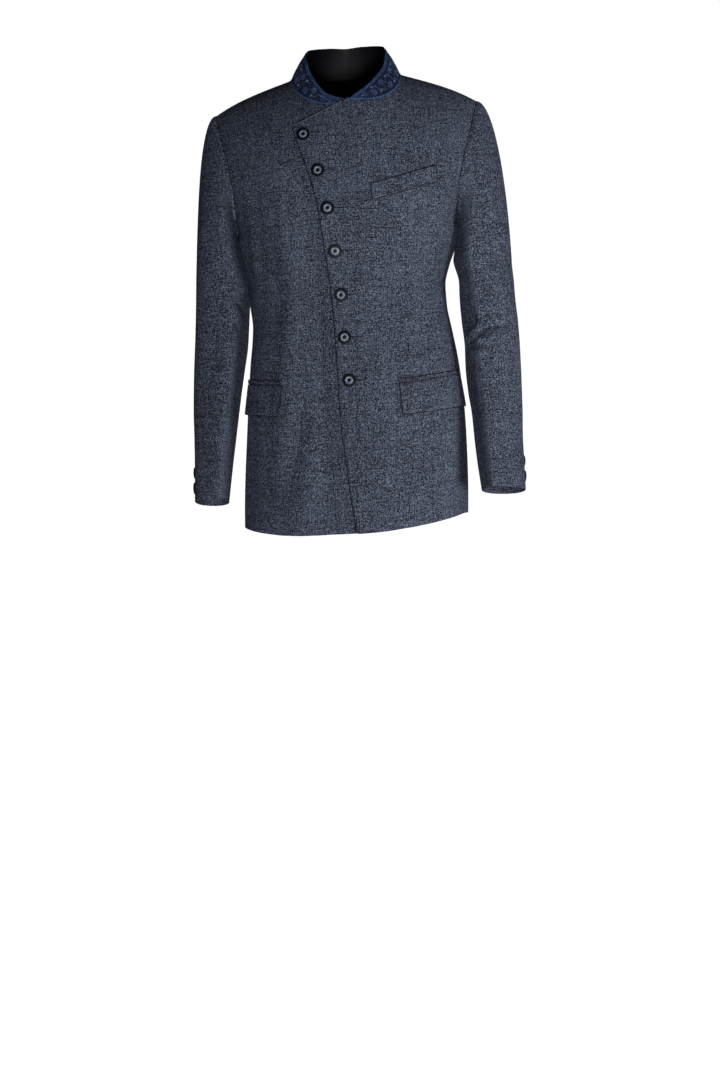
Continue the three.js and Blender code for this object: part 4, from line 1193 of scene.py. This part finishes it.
# painted shadow: dark tubes in the dark thread colour, sunk round the pocket pieces and along the free edges
# where shade falls; the edge size is for a pale painted highlight line on the tab
shadowAndHighlightLine = {
    "out": 0.75, "sunk": 0.45, "radius": 0.75, "jetting": 0.38, "overlap": 0.7, "edge": 0.42, "foot": 0.35,
}


# lays a thin tube along a line: the dark ones are painted shadow lines, the pale one is a painted highlight
def paintedLine(name, line, radius, look="darkThread"):
    trim(tube(name, line, radius, looks[look]))


def straightLine(first, second, side, above):
    share = np.linspace(0, 1, 60)
    return frontSurface(np.abs(mix(first[0], second[0], share)), mix(first[1], second[1], share), side, above)


# painted shadow under the edges of the welt and the flaps, a dark tube just outside each edge
for node in ("chest_welt", "flap_left", "flap_right"):
    line = pocketInset(pockets[node], -shadowAndHighlightLine["out"], pocketTop - shadowAndHighlightLine["sunk"])(0.0)
    paintedLine(node + "_seam", line, shadowAndHighlightLine["radius"])
# painted shadow lines, dark tubes along the top and the foot of each jetting
for node in ("jetting_left", "jetting_right"):
    a, b, c, d, _ = pockets[node]
    side = 1 if a[0] > 0 else -1
    for name, first, second in (("top", a, b), ("foot", d, c)):
        line = straightLine(first, second, side, pocketTop - 0.2) - np.array([0, 0.3, 0])
        paintedLine("%s_%s_seam" % (node, name), line, shadowAndHighlightLine["jetting"])
# painted shadow along the free edge of the buttoned front, and a painted highlight along the turned top edge
# of its tab
rises = np.linspace(garment["hemRise"] + 0.006, 0.42, 240)
tabs = np.linspace(-19, -0.6, 60)
edgeAngle = np.concatenate([overlapAngle(rises) - 0.55, tabs])
edgeRise = np.concatenate([rises, tabRise(tabs) + 0.0022])
line = frontSurface(edgeAngle, edgeRise, 1, 0.95 - liftAt(edgeAngle, edgeRise))
paintedLine("overlap_shadow_line", line, shadowAndHighlightLine["overlap"])
paintedLine("tab_edge_highlight", frontSurface(tabs, tabRise(tabs) - 0.0035, 1, 0.05), shadowAndHighlightLine["edge"], "greyThread")
# a second painted shadow line, a dark tube under the foot of the chest welt
a, b, c, d, _ = pockets["chest_welt"]
lift = np.array([0, 0.009])
line = straightLine(np.array(d) + lift, np.array(c) + lift, 1, pocketTop - 0.1) - np.array([0, 0.25, 0])
paintedLine("chest_welt_foot_seam", line, shadowAndHighlightLine["foot"])
# a painted shadow line, a dark tube round each armhole where the sleeve meets the body
for name, form in sleeveForms.items():
    turn = np.linspace(4, 356, 360)
    line = formPoint(armAngle(turn), armRise(turn)) * np.array([form["side"], 1, 1])
    paintedLine("armhole_shadow_line_" + name, pose(line) + np.array([form["side"] * 0.1, 0, 0]), shadowAndHighlightLine["overlap"])
print("edges stitched")

# buttons and buttonholes
frontButtons = table(
    "angle rise",
    (-14.2, 0.355), (-8.8, 0.185), (-5.5, 0.038), (-2.7, -0.15), (-0.7, -0.359), (0.3, -0.561), (2.1, -0.764))
cuffButtons = table("fromEdge turn", (49, -17), (24, -17))
buttonLook = {"radius": 11.3, "cuffRadius": 9.8, "air": 0.32, "sides": 40, "strands": 34}
buttonBody = table(
    "radius height",
    (0, 0), (0.28, 0), (0.28, 0.09), (0.78, 0.09), (0.9, 0.15), (0.93, 0.24), (0.9, 0.34), (0.8, 0.38),
    (0.7, 0.36), (0.62, 0.37), (0.5, 0.38), (0.3, 0.36), (0.2, 0.375), (0.1, 0.4), (0, 0.41))
buttonRing = table(
    "radius height",
    (0.3, 0.34), (0.27, 0.42), (0.33, 0.47), (0.42, 0.49), (0.51, 0.47), (0.58, 0.41), (0.56, 0.34))


def lathe(profile, sides, scallop=0.0, lobes=12):
    turns = np.radians(np.arange(sides) * 360 / sides)
    rings, faces, vertices = [], [], []
    for row in profile:
        if row["radius"] == 0:
            rings.append([len(vertices)] * sides)
            vertices.append((0.0, 0.0, row["height"]))
            continue
        rings.append(list(range(len(vertices), len(vertices) + sides)))
        for turn in turns:
            r = row["radius"] * (1 + scallop * math.cos(lobes * turn) * (row["radius"] > 0.5))
            vertices.append((r * math.cos(turn), r * math.sin(turn), row["height"]))
    for low, high in zip(rings[:-1], rings[1:]):
        for k in range(sides):
            face = [low[k], low[(k + 1) % sides], high[(k + 1) % sides], high[k]]
            face = list(dict.fromkeys(face))
            if len(face) > 2:
                faces.append(face)
    return np.array(vertices), faces


def makeBraid():
    turns = np.radians(np.arange(buttonLook["strands"]) * 360 / buttonLook["strands"])
    ahead = np.stack([-np.sin(turns), np.cos(turns), 0 * turns], -1)
    outward = np.stack([np.cos(turns), np.sin(turns), 0 * turns], -1)
    points = outward * 0.87 * 10 + np.array([0, 0, 2.7])
    away = unit(outward + np.array([0, 0, 1.0]))
    along = unit(ahead + np.cross(away, ahead) * 0.75)
    piece = sew("button_braid", points, along, away, 3.5, 1.25, 2.6, looks["darkThread"], 0.04)
    vertices = np.empty(len(piece.data.vertices) * 3, np.float32)
    piece.data.vertices.foreach_get("co", vertices)
    faces = [list(polygon.vertices) for polygon in piece.data.polygons]
    bpy.data.objects.remove(piece)
    return vertices.reshape(-1, 3) / metre / 10, faces


braid = makeBraid()
bodyShape = lathe(buttonBody, buttonLook["sides"])
ringShape = lathe(buttonRing, buttonLook["sides"], 0.05, 8)


def makeButton(node, seat, normal, upright, radius):
    side = unit(np.cross(upright, normal))
    axes = np.stack([side, np.cross(normal, side), normal])
    vertices, faces, slots = [], [], []
    total = 0
    for slot, (shape, shapeFaces) in enumerate((bodyShape, ringShape, braid)):
        vertices.append(seat + (shape * radius) @ axes)
        faces += [[v + total for v in face] for face in shapeFaces]
        slots += [slot] * len(shapeFaces)
        total += len(shape)
    vertices = np.concatenate(vertices)
    piece = meshPiece(node + "_made", vertices, faces, np.zeros((len(vertices), 2)), slots,
                      [looks["buttonLacquer"], looks["pewter"], looks["darkThread"]])
    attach(piece, "root")
    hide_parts(node)


def frontNormal(angle, rise):
    across = frontSurface(angle + 4, rise, 1, 0) - frontSurface(angle - 4, rise, 1, 0)
    along = frontSurface(angle, rise + 0.05, 1, 0) - frontSurface(angle, rise - 0.05, 1, 0)
    return unit(np.cross(across, along)), unit(along)


buttonhole = {"start": 3.0, "end": 27.5, "step": 0.5, "purl": 1.0, "thick": 0.45, "apart": 0.5}


def makeButtonhole(name, button, heavy):
    angles = button["angle"] + np.linspace(0, 30, 200)
    path = frontSurface(angles, button["rise"], 1, 0.1)
    length = lengthAlong(path)
    path = path[(length >= buttonhole["start"]) & (length <= buttonhole["end"])]
    normal = frontNormal(np.array(button["angle"] + 6.0), np.array(button["rise"]))[0]
    points, ahead, _ = spaced(path, buttonhole["step"])
    across = unit(np.cross(normal, ahead))
    # two rows of purls, and the bar that ends them
    rows = [points + across * way * buttonhole["apart"] for way in (-1, 1)]
    directions = [across + ahead * 0.15 * way for way in (-1, 1)]
    bar = points[-1] + ahead[-1] * 0.6 + across[-1] * np.linspace(-2.2, 2.2, 6)[:, None]
    rows.append(bar)
    directions.append(np.repeat(unit(ahead[-1] + across[-1] * 0.5)[None, :], len(bar), 0))
    spots = np.concatenate(rows)
    thick = buttonhole["thick"] * heavy
    trim(sew(name, spots, unit(np.concatenate(directions)), np.broadcast_to(normal, spots.shape),
             buttonhole["purl"], thick, thick, looks["darkThread"], 0.15, 3))


for i, button in enumerate(frontButtons):
    angle, rise = np.array(button["angle"]), np.array(button["rise"])
    normal, upright = frontNormal(angle, rise)
    makeButton("button_%d" % (i + 1), frontSurface(angle, rise, 1, buttonLook["air"]), normal, upright,
               buttonLook["radius"])
    makeButtonhole("buttonhole_%d" % (i + 1), button, 1.3 if i < 3 else 2.0)
for name, form in sleeveForms.items():
    foot = sleeves[name]["foot"]
    for i, button in enumerate(cuffButtons):
        height = foot + button["fromEdge"]
        share = sleeveDetail["capShare"]
        along = share + (1 - share) * (garment["capFoot"] - height) / (garment["capFoot"] - foot)
        turn = np.array(float(button["turn"]))
        normal = form["normal"](turn, np.array(along))
        upright = unit(form["at"](turn, np.array(along - 0.01)) - form["at"](turn, np.array(along + 0.01)))
        seat = form["surface"](turn, along, buttonLook["air"])
        makeButton("cuff_button_%s_%d" % (name, i + 1), seat, normal, upright, buttonLook["cuffRadius"])
print("buttons sewn on")

# floor, light and camera
stageSizes = {"floorHeight": -1.62, "halfWidth": 6.0, "front": -6.0, "back": 7.0, "sweep": 2.0,
              "top": 5.0, "steps": 12, "air": 0.02}


def makeSweep(material):
    z, back, bend = stageSizes["floorHeight"], stageSizes["back"], stageSizes["sweep"]
    turns = [math.radians(90 * step / stageSizes["steps"]) for step in range(stageSizes["steps"] + 1)]
    profile = [(stageSizes["front"], z)]
    profile += [(back - bend * (1 - math.sin(turn)), z + bend * (1 - math.cos(turn))) for turn in turns]
    profile.append((back, stageSizes["top"]))
    vertices = [(x, y, h) for y, h in profile for x in (-stageSizes["halfWidth"], stageSizes["halfWidth"])]
    faces = [(2 * i, 2 * i + 1, 2 * i + 3, 2 * i + 2) for i in range(len(profile) - 1)]
    mesh = bpy.data.meshes.new("paleSweep")
    mesh.from_pydata(vertices, [], faces)
    mesh.polygons.foreach_set("use_smooth", np.ones(len(faces), bool))
    mesh.materials.append(material)
    sweep = bpy.data.objects.new("paleSweep", mesh)
    bpy.context.collection.objects.link(sweep)


def makeStage():
    paper, n, look = newMaterial("palePaper", specular=0.1, roughness=0.9)
    n.plug(look["Base Color"], (0.3, 0.3, 0.31, 1))
    n.plug(look["Emission Color"], (1, 1, 1, 1))
    n.plug(look["Emission Strength"], n.add("ShaderNodeLightPath").outputs["Is Camera Ray"])
    makeSweep(paper)
    # the air is white to the camera and nearly dark to the cloth
    world = bpy.data.worlds.new("studio")
    bpy.context.scene.world = world
    world.use_nodes = True
    w = Nodes(world.node_tree)
    seen = w.add("ShaderNodeLightPath").outputs["Is Camera Ray"]
    strength = w.math("ADD", w.math("MULTIPLY", seen, 1 - stageSizes["air"]), stageSizes["air"])
    air = w.add("ShaderNodeBackground", {"Color": (1, 1, 1, 1), "Strength": strength})
    w.add("ShaderNodeOutputWorld", {"Surface": air.outputs[0]})


lights = table(
    "name place size power",
    ("frontLight", (0.1, -3.3, -1.3), 0.6, 54.5), ("sideLight", (4.0, -1.5, -1.1), 1.6, 92),
    ("backLight", (0, 2.8, 0.2), 1.4, 60))
lightTarget = (0, 0, -0.4)


def softLight(light):
    data = bpy.data.lights.new(light["name"], "AREA")
    data.shape = "SQUARE"
    data.size, data.energy = light["size"], light["power"]
    lamp = bpy.data.objects.new(light["name"], data)
    bpy.context.collection.objects.link(lamp)
    offset = [t - p for t, p in zip(lightTarget, light["place"])]
    length = math.sqrt(sum(v * v for v in offset))
    lamp.location = light["place"]
    lamp.visible_camera = False
    lamp.rotation_euler = (math.acos(-offset[2] / length), 0, math.atan2(-offset[0], offset[1]))


makeStage()
for light in lights:
    softLight(light)
cameraSizes = {"place": (0.024, -4.5, -0.7626), "lens": 90.91, "sensor": 36}
camera = bpy.data.cameras.new("camera")
camera.sensor_fit = "VERTICAL"
camera.sensor_height = cameraSizes["sensor"]
camera.lens = cameraSizes["lens"]
cameraObject = bpy.data.objects.new("camera", camera)
cameraObject.location = cameraSizes["place"]
cameraObject.rotation_euler = (math.pi / 2, 0, 0)
bpy.context.collection.objects.link(cameraObject)
bpy.context.scene.camera = cameraObject
bpy.context.scene.view_settings.view_transform = "Standard"
print("stage set")
